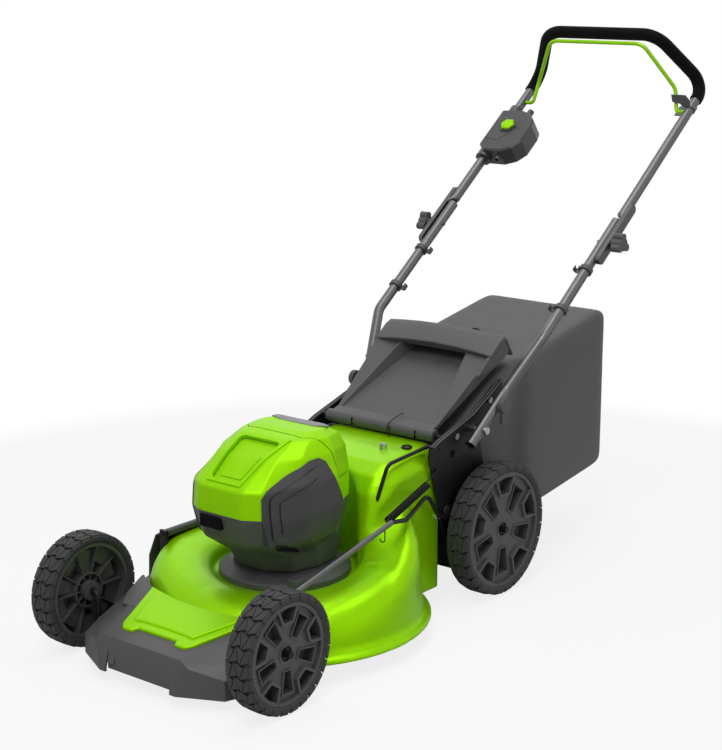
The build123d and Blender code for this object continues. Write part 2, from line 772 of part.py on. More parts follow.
def side_door():
    """Hinged cover of the side opening, hung on its rod."""
    outer = [(0, 7), (-30, -10), (-48, -52), (-51, -112), (-48, -112), (-45, -52), (-27.6, -12.4), (0, 3)]
    start = deck_y - door_length / 2
    outline = Polyline(*[(door_x + x, start, door_z + z) for x, z in outer], close=True)
    door = extrude(make_face(outline.edges()), amount=door_length, dir=(0, 1, 0))
    door += Pos(door_x, deck_y, door_z) * Rot(90, 0, 0) * Cylinder(7, door_length)
    door -= Pos(door_x, deck_y, door_z) * Rot(90, 0, 0) * Cylinder(door_rod + running, door_length + 2)
    pieces["side_door"] = max((door - deck_form(-1.0)).solids(), key=lambda s: s.volume)


def shield():
    """Rubber sheet that hangs behind the blade chamber, close to the ground."""
    half = plate_x - 3
    sheet = block(-half, half, shield_y - 1.5, shield_y + 1.5, 6, shield_z)
    sheet += bar_x(-half, half, shield_y, shield_z, 8)
    sheet -= bar_x(-half - 1, half + 1, shield_y, shield_z, rod_radius + running)
    pieces["trailing_shield"] = sheet


def bag_form(inset):
    """Bag body, narrow between the wheels and wide behind them, moved inwards by the wall."""
    t = inset
    front = bag_front_y - (5 if t > 0 else 0)
    side = [
        (front, 182 + t), (front, 292 - t), (740, 412 - t), (861, 437 - t), (1097 - t, 478 - t),
        (1108 - t, 152 + t), (880, 121 + t), (775, 112 + t), (692, 176 + t),
    ]
    body = yz_prism(side, -bag_half + t, bag_half - t)
    for sign in (1, -1):
        ends = sorted((sign * (bag_neck_half - t), sign * 300))
        body -= block(*ends, 500, 806 + t, 0, 600)
    return body


def rounded_bag(inset):
    """Bag body with its rear edges rounded."""
    body = bag_form(inset)
    edges = [
        e for e in body.edges()
        if (e.center().Y > 900 and abs(e.center().X) > 1) or (e.center().Y > 1050 and abs(e.center().X) < 1)
    ]
    return fillet(edges, bag_round - inset)


def bag():
    """Grass bag, open at its mouth, with the mouth's frame."""
    pieces["grass_bag"] = rounded_bag(0.0) - rounded_bag(bag_wall)
    frame = block(-bag_neck_half - 2, bag_neck_half + 2, chute_rear_y + seat_gap, bag_front_y, 176, 300)
    frame -= block(-bag_neck_half + 6, bag_neck_half - 6, 500, 600, 190, 288)
    pieces["bag_frame"] = frame


# Handle


def tube_plane(x, y):
    """Plane square to a straight handle tube at a distance back."""
    angle = math.radians(handle_slope)
    along = (0, math.cos(angle), math.sin(angle))
    return Plane(origin=(x, y, line_height(y)), x_dir=(1, 0, 0), z_dir=along)


def lower_handle():
    """Lower tubes with an outward bend, locks, clips and knobs."""
    points = [
        (lower_x, 604, 298.4), (lower_x, 714, 379.4),
        (lap_x + 1, 790, line_height(790)), (lap_x, lap_end_y, line_height(lap_end_y)),
    ]
    tube = rod(points, [50, 50], tube_radius, tube_radius - tube_wall)
    fold_z = line_height(fold_y)
    tube -= bar_x(150, 240, fold_y, fold_z, pin_radius + 0.1)
    tube -= bar_x(150, 240, pivot_y, pivot_z, rod_radius + 0.1)
    pieces["lower_tube_left"] = tube
    pieces["lower_tube_right"] = mirror(tube, about=Plane.YZ)
    clips = []
    for y in (845, 930):
        plane = tube_plane(lap_x + (lap_end_y - y) / 250, y)
        ring = plane * (Cylinder(tube_radius + 3.5, 9) - Cylinder(tube_radius + 0.1, 9))
        hook = Cylinder(8, 9) - Cylinder(5.5, 9) - Pos(0, -8, 0) * Box(9, 8, 9)
        clips += both(ring + plane * Pos(-tube_radius - 9, 0, 0) * hook)
    pieces["lower_clips"] = Compound(children=clips)
    face = lower_x + tube_radius + seat_gap
    puck = bar_x(face, face + 11, lock_y, lock_z, lock_radius)
    puck = fillet(puck.edges().sort_by(Axis.X)[-1], 2)
    lock = puck + block(face + 2, face + 9, lock_y - 9, lock_y + 9, lock_z - 34, lock_z - 8)
    pieces["handle_lock_left"] = lock
    pieces["handle_lock_right"] = mirror(lock, about=Plane.YZ)
    shoe_out = lap_x + tube_radius + 1 + shoe_thickness
    knob = bar_x(lap_x - 12, shoe_out + 10, fold_y, fold_z, pin_radius)
    knob += bar_x(shoe_out + seat_gap, shoe_out + 9, fold_y, fold_z, 9)
    for turn in (90, 210, 330):
        a = math.radians(turn)
        lobe_y, lobe_z = fold_y + knob_reach * math.cos(a), fold_z + knob_reach * math.sin(a)
        knob += bar_x(shoe_out + 8, shoe_out + 27, lobe_y, lobe_z, knob_lobe)
    knob += bar_x(shoe_out + 8, shoe_out + 27, fold_y, fold_z, knob_core)
    pieces["knob_left"] = knob
    pieces["knob_right"] = mirror(knob, about=Plane.YZ)


def upper_handle():
    """Loop of tube with flat shoes at its ends, foam grip, bail and switch box."""
    corner = (handle_x, bend_y, line_height(bend_y))
    crown = (top_x, top_y, top_z)
    start_y = 1053.0
    start = (handle_x, start_y, line_height(start_y))
    radii = [low_bend, high_bend, high_bend, low_bend]
    loop = rod(mirrored([start, corner, crown]), radii, tube_radius, tube_radius - tube_wall)
    shoe_in = lap_x + tube_radius + 1
    shoe = tube_plane(shoe_in + shoe_thickness / 2, 1012) * Box(shoe_thickness, 2 * tube_radius, 160)
    shoe = fillet(shoe.edges().filter_by(Axis.X), 9)
    keep = tube_plane(handle_x, start_y)
    bore = keep * Pos(0, 0, 100) * Cylinder(tube_radius - tube_wall, 200)
    shoe -= bore
    fold_z = line_height(fold_y)
    shoe -= bar_x(180, 260, fold_y, fold_z, pin_radius + 0.1)
    collar = Cylinder(tube_radius + 2, 12) - Cylinder(tube_radius - 0.2, 12)
    stop = tube_plane(handle_x, stop_y) * (collar + block(-34, -5, 8.5, 10.5, -14, 14))
    for part in both(shoe):
        loop += part
    loop += stop
    bail_z = line_height(bail_y)
    for sign in (1, -1):
        ends = sorted((sign * 170, sign * 203))
        loop -= bar_x(*ends, bail_y, bail_z, bail_radius + running)
    pieces["upper_handle"] = loop
    grip = mirrored([(handle_x, foam_y, line_height(foam_y)), corner, crown])
    pieces["foam_grip"] = rod(grip, radii, foam_radius, tube_radius + running)
    points = [
        (handle_x - 5, bail_y, bail_z), (177, bail_y, bail_z),
        (168, bail_y + 9, bail_z + 46), (112, 1264, 1001),
    ]
    pieces["bail"] = rod(mirrored(points), [9, 30, 30, 30, 30, 9], bail_radius)

    angle = math.radians(handle_slope)
    outward = (0, -math.sin(angle), math.cos(angle))
    plane = Plane(origin=(0, box_y, line_height(box_y)), x_dir=(1, 0, 0), z_dir=outward)
    outline = [
        (-219, -47), (-219, 62), (-172, 66), (-146, 58), (-126, 38),
        (-120, 18), (-120, -30), (-134, -52), (-158, -64), (-200, -64),
    ]
    face = make_face(Polyline(*outline, close=True).edges())
    case = Pos(0, 0, box_low) * extrude(face, box_high - box_low)
    case = fillet(case.edges().filter_by(Axis.Z), 6)
    case = chamfer(case.faces().sort_by(Axis.Z)[-1].edges(), 3.5)
    along = Rot(90, 0, 0)
    case += Pos(-handle_x, -60, 0) * along * Cylinder(17, 24)
    case += Pos(-handle_x, 72, 0) * along * Cylinder(15, 30)
    case += Pos(-165, -68, 4) * along * Cylinder(7, 14)
    case += Pos(-160, 70, 6) * along * Cylinder(7, 18)
    case -= Pos(-165, -72, 4) * along * Cylinder(4.2, 20)
    case -= Pos(-handle_x, 0, 0) * along * Cylinder(tube_radius + running, 400)
    case += Pos(button_x, button_along, box_high - 4) * extrude(RegularPolygon(button_radius + 5, 6), 7)
    case -= Pos(button_x, button_along, 8) * extrude(RegularPolygon(button_radius + 0.4, 6), 40)
    pieces["switch_box"] = max((plane * case).solids(), key=lambda s: s.volume)
    button = Pos(button_x, button_along, 13) * extrude(RegularPolygon(button_radius, 6), 18)
    pieces["start_button"] = plane * chamfer(button.faces().sort_by(Axis.Z)[-1].edges(), 2)


place_wheels()
axles()
height_linkage()
deck()
front_end()
motor_pod()
motor()
brackets()
fasteners()
guide()
rear_flap()
side_door()
shield()
bag()
lower_handle()
upper_handle()

boxes = [shape.bounding_box() for shape in pieces.values()]
middle_y = (min(b.min.Y for b in boxes) + max(b.max.Y for b in boxes)) / 2
print("moved in Y by", round(-middle_y, 3), "nodes", len(pieces))
for node, shape in pieces.items():
    export_step(Pos(0, -middle_y, 0) * shape, f"parts/{node}.step")
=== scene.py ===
"""Walk-behind mower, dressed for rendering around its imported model."""
import json
import math

import bmesh
import bpy
from mathutils import Matrix, Vector


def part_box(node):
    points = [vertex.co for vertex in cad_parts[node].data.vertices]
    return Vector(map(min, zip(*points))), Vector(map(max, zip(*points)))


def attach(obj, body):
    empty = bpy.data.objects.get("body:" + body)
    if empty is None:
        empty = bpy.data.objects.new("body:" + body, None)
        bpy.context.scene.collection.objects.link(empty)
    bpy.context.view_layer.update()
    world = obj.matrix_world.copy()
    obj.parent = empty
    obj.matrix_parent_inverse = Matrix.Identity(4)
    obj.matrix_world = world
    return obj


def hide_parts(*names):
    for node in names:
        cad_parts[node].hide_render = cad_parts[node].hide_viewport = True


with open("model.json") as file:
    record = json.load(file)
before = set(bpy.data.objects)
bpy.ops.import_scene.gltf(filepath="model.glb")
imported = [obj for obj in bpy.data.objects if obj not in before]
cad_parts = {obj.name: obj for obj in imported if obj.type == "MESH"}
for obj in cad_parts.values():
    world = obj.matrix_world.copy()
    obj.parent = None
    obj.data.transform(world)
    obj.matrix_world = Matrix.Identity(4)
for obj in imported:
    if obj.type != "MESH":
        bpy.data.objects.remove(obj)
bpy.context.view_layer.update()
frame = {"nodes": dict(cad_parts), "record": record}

bl_info = {
    "name": "Walk-behind mower",
    "version": (1, 0, 0),
    "blender": (4, 5, 0),
    "location": "View3D > Sidebar > Mower",
    "description": "Builds the mower's shaped pieces, finishes and studio around its packed model",
    "category": "Object",
}

NODES = frame["nodes"]
BODY_OF = {node: body for body, nodes in frame["record"]["behaviour"]["bodies"].items() for node in nodes}
SLOT_OF = {entry["node"]: entry["material_slot"] for entry in frame["record"]["subparts"]}
LOW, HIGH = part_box("tyre_front_left")
AXLE_Y = (LOW[1] + HIGH[1]) / 2
ENDS = ("front_left", "front_right", "rear_left", "rear_right")
SIDES = ((1, "left"), (-1, "right"))


# Points, in millimetres unless said otherwise


def at(x, y, z):
    """A point in millimetres from the front axle line on the ground, in the frame's metres."""
    return Vector((x / 1000, y / 1000 + AXLE_Y, z / 1000))


def leaning(base, x, along, out):
    """A point by a plane that rises backwards: across, along it and out of it.

    The base gives the y and z of the plane's foot and its angle in degrees.
    """
    y, z, degrees = base
    run, rise = math.cos(math.radians(degrees)), math.sin(math.radians(degrees))
    return at(x, y + along * run - out * rise, z + along * rise + out * run)


def circle(wide, tall, steps):
    """Points of an ellipse, as pairs."""
    turns = [math.tau * step / steps for step in range(steps)]
    return [(wide * math.cos(turn), tall * math.sin(turn)) for turn in turns]


def around(points):
    """Each point of a closed outline with the next one."""
    return zip(points, points[1:] + points[:1])


def between(table, value):
    """Reads a table of pairs at a value, in straight lines."""
    for (low, start), (high, end) in zip(table, table[1:]):
        if value <= high:
            return start + (end - start) * max(0.0, value - low) / (high - low)
    return table[-1][1]


# Colours and materials


def linear(text):
    """An sRGB hex colour as linear RGBA."""
    channels = [int(text[i:i + 2], 16) / 255 for i in (0, 2, 4)]
    return tuple(c / 12.92 if c < 0.04045 else ((c + 0.055) / 1.055) ** 2.4 for c in channels) + (1.0,)


def swatch(name, description, text):
    """A colour property, with its default in sRGB hex."""
    return bpy.props.FloatVectorProperty(
        name=name, description=description, subtype="COLOR", size=4, min=0, max=1, default=linear(text))


class MowerColours(bpy.types.PropertyGroup):
    """Paint, plastic and fabric colours."""

    paint: swatch("Paint", "Enamel of the deck and the bail", "8FD000")
    cover: swatch("Cover", "Coloured plastic of the cover and the trim", "96DA00")
    moulding: swatch("Moulding", "Dark moulded plastic", "484849")
    tube: swatch("Tube", "Metallic coat of the handle tubes", "606062")
    bag: swatch("Bag", "Woven bag fabric", "474748")
    rubber: swatch("Rubber", "Tyre rubber", "2E2E2F")


class MowerSizes(bpy.types.PropertyGroup):
    """Sizes of the shaped pieces."""

    lug_height: bpy.props.FloatProperty(
        name="Lug height", description="Height of the tread blocks", default=0.005, min=0.001, max=0.008,
        unit="LENGTH")


def feed(tree, node, inputs):
    """Links each input that is given as a socket, and sets the others."""
    for key, value in inputs.items():
        if isinstance(value, bpy.types.NodeSocket):
            tree.links.new(value, node.inputs[key])
        else:
            node.inputs[key].default_value = value


def add_node(tree, kind, inputs=None, output=0, **settings):
    """Adds a shader node with its settings and inputs; returns one of its outputs."""
    made = tree.nodes.new("ShaderNode" + kind)
    for key, value in settings.items():
        setattr(made, key, value)
    feed(tree, made, inputs or {})
    return made.outputs[output] if made.outputs else None


MATERIALS = {}
MOTTLE_MM = 35.0
COAT_ROUGHNESS = 0.12


def surface(slot, name, colour, roughness, grain_mm, bump_mm, vary=0.12, rough_vary=0.08, metallic=0.0, coat=0.0,
            sheen=0.0, shine=0.5):
    """Makes a slot's finish, with grain in its bump, and mottling in its colour and roughness."""
    material = bpy.data.materials.new(name)
    material.use_nodes = True
    tree = material.node_tree
    place = add_node(tree, "TexCoord", output="Object")
    mottle = add_node(tree, "TexNoise", {
        "Vector": place, "Scale": 1000 / MOTTLE_MM, "Detail": 5.0, "Roughness": 0.6})

    def mottled(middle, swing):
        return add_node(tree, "MapRange", {
            "Value": mottle, "From Min": 0.3, "From Max": 0.7, "To Min": middle - swing, "To Max": middle + swing})

    grain = add_node(tree, "TexNoise", {"Vector": place, "Scale": 1000 / grain_mm, "Detail": 2.0})
    feed(tree, tree.nodes["Principled BSDF"], {
        "Base Color": add_node(tree, "VectorMath", {0: colour[:3], "Scale": mottled(1, vary)}, operation="SCALE"),
        "Roughness": mottled(roughness, rough_vary),
        "Normal": add_node(tree, "Bump", {"Height": grain, "Strength": 1.0, "Distance": bump_mm / 1000}),
        "Metallic": metallic, "Coat Weight": coat, "Coat Roughness": COAT_ROUGHNESS, "Sheen Weight": sheen,
        "Specular IOR Level": shine})
    MATERIALS[slot] = material


def make_materials():
    """Makes all finishes of the mower."""
    colours = bpy.context.scene.mower_colours
    # Stoved enamel on pressed steel: even colour, slight orange peel, soft gloss.
    surface("green_paint", "stoved_enamel", colours.paint, 0.36, 6.0, 0.03, vary=0.03, rough_vary=0.03,
            metallic=0.45, shine=0.08)
    # Coloured ABS moulding: semi-gloss with a very fine spark grain.
    surface("green_plastic", "coloured_abs", colours.cover, 0.42, 1.2, 0.02, vary=0.03, rough_vary=0.04,
            metallic=0.3, shine=0.08)
    surface("green_rod", "rod_enamel", colours.paint, 0.36, 3.0, 0.03, vary=0.04, rough_vary=0.05,
            metallic=0.3, shine=0.2)
    # Dark polypropylene moulding: spark-eroded grain drawn at 1.4 mm so that it shows.
    surface("dark_plastic", "moulded_polypropylene", colours.moulding, 0.52, 1.4, 0.12, vary=0.1)
    surface("panel_plastic", "panel_polypropylene", linear("343436"), 0.32, 1.2, 0.03, vary=0.06)
    # Black powder coat on bent steel: satin with a pebbled skin.
    surface("black_steel", "powder_coat", linear("131314"), 0.42, 2.2, 0.05, vary=0.1, shine=0.2)
    # Metallic lacquer on drawn tube: even, with soft waves a few centimetres long.
    surface("tube_steel", "tube_lacquer", colours.tube, 0.34, 30.0, 0.01, vary=0.04, rough_vary=0.03, metallic=0.85)
    surface("zinc", "zinc_plate", linear("B9BABC"), 0.32, 4.0, 0.03, vary=0.1, metallic=1.0)
    surface("blade_steel", "ground_steel", linear("77787A"), 0.4, 1.5, 0.05, vary=0.15, metallic=1.0)
    # Carbon-black tyre rubber: matt, with dust in its pores.
    surface("tyre", "tyre_rubber", colours.rubber, 0.72, 1.8, 0.2, vary=0.16)
    surface("rubber", "sheet_rubber", linear("222223"), 0.66, 2.0, 0.15)
    # Closed-cell foam: deep black, pores of about a millimetre and a half.
    surface("foam", "cell_foam", linear("070708"), 0.9, 1.5, 0.3, vary=0.2, sheen=0.04, shine=0.1)
    surface("bag_fabric", "woven_polyester", colours.bag, 0.7, 1.6, 0.25, vary=0.1, sheen=0.2)
    surface("window", "smoked_strip", linear("505254"), 0.28, 2.0, 0.02, vary=0.05, coat=0.1)
    # Unlit depth behind louvres and in slits.
    surface("shadow", "slit_shadow", linear("0B0B0C"), 0.8, 2.0, 0.05, shine=0.1)
    surface("copper", "lacquered_winding", linear("B5652B"), 0.35, 1.0, 0.2, vary=0.2, metallic=1.0)
    surface("board", "varnished_board", linear("12502C"), 0.4, 2.0, 0.05)
    surface("battery", "battery_case", linear("2E2E30"), 0.5, 1.4, 0.1)


def dress(obj, slot):
    """Gives an object one finish."""
    obj.data.materials.clear()
    obj.data.materials.append(MATERIALS[slot])


class MOWER_OT_finishes(bpy.types.Operator):
    """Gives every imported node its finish"""

    bl_idname = "mower.finishes"
    bl_label = "Finishes"

    looks = {"switch_box": "panel_plastic"}

    def execute(self, context):
        make_materials()
        for name, obj in NODES.items():
            dress(obj, self.looks.get(name, SLOT_OF[name]))
        return {"FINISHED"}


# Objects and modifiers


def to_object(mesh, name="temporary"):
    """A new object that holds a bmesh, which is freed."""
    data = bpy.data.meshes.new(name)
    mesh.to_mesh(data)
    mesh.free()
    holder = bpy.data.objects.new(name, data)
    bpy.context.scene.collection.objects.link(holder)
    return holder


def keep(mesh, name, body, slot, *nodes, look=None):
    """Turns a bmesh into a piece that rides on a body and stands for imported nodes; look changes its finish."""
    piece = to_object(mesh, name)
    dress(piece, look or slot)
    if nodes:
        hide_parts(*nodes)
    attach(piece, body)
    return piece


def soften(piece, width, segments=2, degrees=32):
    """Rounds the creases of a piece."""
    bevel = piece.modifiers.new("edges", "BEVEL")
    bevel.width = width
    bevel.segments = segments
    bevel.limit_method = "ANGLE"
    bevel.angle_limit = math.radians(degrees)
    piece.modifiers.new("normals", "WEIGHTED_NORMAL")


def round_node(node, width):
    """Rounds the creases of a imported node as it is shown."""
    weld = NODES[node].modifiers.new("weld", "WELD")
    weld.merge_threshold = 0.00001
    soften(NODES[node], width, degrees=30)


def thicken(piece, thickness, width=0.0, segments=2):
    """Gives a skin its wall inwards, with rounded rims."""
    wall = piece.modifiers.new("wall", "SOLIDIFY")
    wall.thickness = thickness
    wall.offset = -1.0
    if width:
        soften(piece, width, segments, 40)


def shown(holder):
    """A bmesh of an object as it is shown."""
    bpy.context.view_layer.update()
    data = bpy.data.meshes.new_from_object(holder.evaluated_get(bpy.context.evaluated_depsgraph_get()))
    mesh = bmesh.new()
    mesh.from_mesh(data)
    bpy.data.meshes.remove(data)
    return mesh


def worked(mesh, *modifiers, tools=()):
    """A bmesh as modifiers change it; the bmesh given is freed, and the tool objects are removed."""
    holder = to_object(mesh)
    for kind, settings in modifiers:
        modifier = holder.modifiers.new(kind.lower(), kind)
        for key, value in settings.items():
            setattr(modifier, key, value)
    result = shown(holder)
    for item in (holder, *tools):
        bpy.data.meshes.remove(item.data)
    return result


def cutting(tool):
    """The modifier that cuts a tool object away."""
    return "BOOLEAN", {"object": tool, "operation": "DIFFERENCE", "solver": "EXACT"}


# Meshes


def smooth_faces(mesh):
    """Smooth shading all over."""
    for face in mesh.faces:
        face.smooth = True


def shade(mesh, degrees):
    """Smooth shading with creases kept sharp."""
    smooth_faces(mesh)
    limit = math.radians(degrees)
    for edge in mesh.edges:
        edge.smooth = len(edge.link_faces) == 2 and edge.calc_face_angle() < limit


def outward(mesh):
    """Turns all faces outwards."""
    bmesh.ops.recalc_face_normals(mesh, faces=mesh.faces)


def whole(faces):
    """Faces with their vertices and edges."""
    geometry = set(faces)
    for face in faces:
        geometry.update(face.verts)
        geometry.update(face.edges)
    return list(geometry)


def pull(mesh, faces):
    """Extrudes faces; the new vertices are still in place."""
    raised = bmesh.ops.extrude_face_region(mesh, geom=faces)["geom"]
    return [item for item in raised if isinstance(item, bmesh.types.BMVert)]


def join(mesh, other):
    """Adds another bmesh to a bmesh; the other is freed."""
    data = bpy.data.meshes.new("joined")
    other.to_mesh(data)
    other.free()
    mesh.from_mesh(data)
    bpy.data.meshes.remove(data)


def ring_loft(rings, caps=True):
    """A closed skin over rings of points, from the first to the last."""
    mesh = bmesh.new()
    loops = []
    for ring in rings:
        verts = [mesh.verts.new(point) for point in ring]
        loops.append([mesh.edges.new(pair) for pair in around(verts)])
    for low, high in zip(loops, loops[1:]):
        bmesh.ops.bridge_loops(mesh, edges=low + high)
    if caps:
        bmesh.ops.holes_fill(mesh, edges=loops[0] + loops[-1], sides=0)
    outward(mesh)
    return mesh


def trim(mesh, point, normal):
    """Keeps what lies behind a plane."""
    everything = list(mesh.verts) + list(mesh.edges) + list(mesh.faces)
    bmesh.ops.bisect_plane(mesh, geom=everything, plane_co=point, plane_no=normal, clear_outer=True)


def trim_round(mesh, corners, out, middle, grow=0.0):
    """Keeps what lies inside an outline seen along a direction, grown all round."""
    for start, end in around(corners):
        normal = (end - start).cross(out).normalized()
        if normal.dot(start - middle) < 0:
            normal = -normal
        trim(mesh, start + normal * grow, normal)
    smooth_faces(mesh)


def swell(mesh, amount):
    """Moves a skin outwards."""
    mesh.normal_update()
    moves = [(v, v.normal * amount) for v in mesh.verts]
    for vert, move in moves:
        vert.co += move


def relax(mesh, verts, rounds):
    """Smooths vertices a number of times."""
    for _ in range(rounds):
        bmesh.ops.smooth_vert(mesh, verts=verts, factor=0.5, use_axis_x=True, use_axis_y=True, use_axis_z=True)


def box_mesh(low, high):
    """A bmesh block between two corners given in millimetres."""
    mesh = bmesh.new()
    start, end = at(*low), at(*high)
    matrix = Matrix.Translation((start + end) / 2) @ Matrix.Diagonal((end - start).to_4d())
    bmesh.ops.create_cube(mesh, size=1.0, matrix=matrix)
    return mesh


def cone_mesh(matrix, low, high, depth, segments):
    """A bmesh of a capped cone with its two radii, in metres."""
    mesh = bmesh.new()
    bmesh.ops.create_cone(
        mesh, cap_ends=True, segments=segments, radius1=low, radius2=high, depth=depth, matrix=matrix)
    return mesh


def stud(middle, radius, depth, segments):
    """A bmesh of a disc that faces sideways."""
    turned = Matrix.Translation(middle) @ Matrix.Rotation(math.pi / 2, 4, "Y")
    return cone_mesh(turned, radius, radius, depth, segments)


def tube(points, radius, closed=False, smooth=False):
    """A bmesh of a round rod along points; smooth runs it as one NURBS line."""
    data = bpy.data.curves.new("line", "CURVE")
    data.dimensions = "3D"
    data.bevel_depth = radius
    data.bevel_resolution = 3
    data.use_fill_caps = True
    line = data.splines.new("NURBS" if smooth else "POLY")
    line.points.add(len(points) - 1)
    for spot, point in zip(line.points, points):
        spot.co = (*point, 1.0)
    line.use_cyclic_u = closed
    if smooth:
        line.order_u = 3
        line.use_endpoint_u = not closed
        data.resolution_u = 8
    holder = bpy.data.objects.new("line", data)
    bpy.context.scene.collection.objects.link(holder)
    mesh = shown(holder)
    bpy.data.curves.remove(data)
    bmesh.ops.remove_doubles(mesh, verts=mesh.verts, dist=0.000001)
    outward(mesh)
    smooth_faces(mesh)
    return mesh


class MOWER_OT_tyres(bpy.types.Operator):
    """Moulds the tyres: a carcass, rows of zigzag tread blocks and shoulder blocks"""

    bl_idname = "mower.tyres"
    bl_label = "Tyres"

    # Sizes in metres; u runs across the tread, v round it and r out from the axle.
    rows = 26
    carcass_steps = 78
    side_height = 0.017
    wave = 0.0032
    slit = 0.0006
    groove = 0.0019
    slits = ((-0.0155, -0.0075), (0.0035, -0.0035), (0.0075, 0.0155))
    tread_inset = 0.0012
    taper = 0.985
    root = 0.002
    crown_start = 0.55
    crown_drop = 0.0026
    shoulder_root = 0.003
    shoulder_chamfer = 0.001

    def execute(self, context):
        lug = context.scene.mower_sizes.lug_height
        for end in ENDS:
            low, high = (Vector(corner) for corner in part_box("tyre_" + end))
            self.tyre(end, (low + high) / 2, (high.z - low.z) / 2, (high.x - low.x) / 2, lug)
        return {"FINISHED"}

    def tyre(self, end, middle, radius, half, lug):
        mesh = bmesh.new()
        bead = radius - self.side_height
        profile = [(half - 0.005, bead), (half - 0.0022, bead + 0.002), (half - 0.0012, bead + 0.0045),
                   (half - 0.0022, radius - 0.0085), (half - 0.006, radius - lug - 0.001),
                   (half - 0.012, radius - lug)]
        profile = profile + [(-x, r) for x, r in reversed(profile)]
        verts = [mesh.verts.new(middle + Vector((x, 0, r))) for x, r in profile]
        edges = [mesh.edges.new(pair) for pair in around(verts)]
        axle = {"cent": middle, "axis": (1, 0, 0)}
        bmesh.ops.spin(mesh, geom=verts + edges, angle=math.tau, steps=self.carcass_steps, use_merge=True, **axle)
        outward(mesh)
        carcass = set(mesh.faces)
        self.row(mesh, middle, radius, half, lug)
        lugs = [f for f in mesh.faces if f not in carcass]
        bmesh.ops.recalc_face_normals(mesh, faces=lugs)
        turns = self.rows - 1
        angle = math.tau * turns / self.rows
        bmesh.ops.spin(mesh, geom=whole(lugs), angle=angle, steps=turns, use_duplicate=True, **axle)
        shade(mesh, 40)
        piece = keep(mesh, "tyre_rubber_" + end, BODY_OF["tyre_" + end], "tyre", "tyre_" + end)
        soften(piece, 0.0004, 1, 40)

    def row(self, mesh, middle, radius, half, lug):
        """One row of four blocks between zigzag grooves, and a shoulder block on each side."""
        pitch = math.tau * radius / self.rows
        slit, groove, wave = self.slit, self.groove, self.wave
        edge = half - self.tread_inset
        bounds = ((-edge, -edge), *self.slits, (edge, edge))
        for left, right in zip(bounds, bounds[1:]):
            low = [(left[0] + slit, wave), (right[0] - slit, -wave)]
            high = [(right[1] - slit, pitch - wave), (left[1] + slit, pitch + wave)]
            wave = -wave
            outline = [(u, v + groove) for u, v in low] + [(u, v - groove) for u, v in high]
            foot = [(u, v, radius - lug - self.root) for u, v in outline]
            top = [(u * self.taper, v, self.crown(u, radius, half)) for u, v in outline]
            self.block(mesh, foot, top, middle, radius)
        low, high, chamfer = radius - 0.0125, radius - 0.004, self.shoulder_chamfer
        for side, _ in SIDES:
            foot = self.shoulder(side * (half - self.shoulder_root), groove, pitch, low, high)
            top = self.shoulder(side * half, groove + chamfer, pitch, low + chamfer, high - 1.5 * chamfer)
            self.block(mesh, foot, top, middle, radius)

    def shoulder(self, u, gap, pitch, low, high):
        """Outline of a shoulder block between two radii."""
        return [(u, gap, low), (u, pitch - gap, low), (u, pitch - gap, high), (u, gap, high)]

    def crown(self, u, radius, half):
        """Tread radius, falling off to the shoulder."""
        past = max(0.0, abs(u) - self.crown_start * half) / ((1 - self.crown_start) * half)
        return radius - self.crown_drop * past * past

    def block(self, mesh, foot, top, middle, radius):
        """A closed block from its foot outline to its top outline, given across, round and out."""
        def spot(u, v, r):
            return middle + Vector((u, r * math.sin(v / radius), r * math.cos(v / radius)))
        base = mesh.faces.new([mesh.verts.new(spot(*p)) for p in foot])
        made = pull(mesh, [base])
        for p, q in zip(foot, top):
            near = min(made, key=lambda v: (v.co - spot(*p)).length)
            near.co = spot(*q)
            made.remove(near)


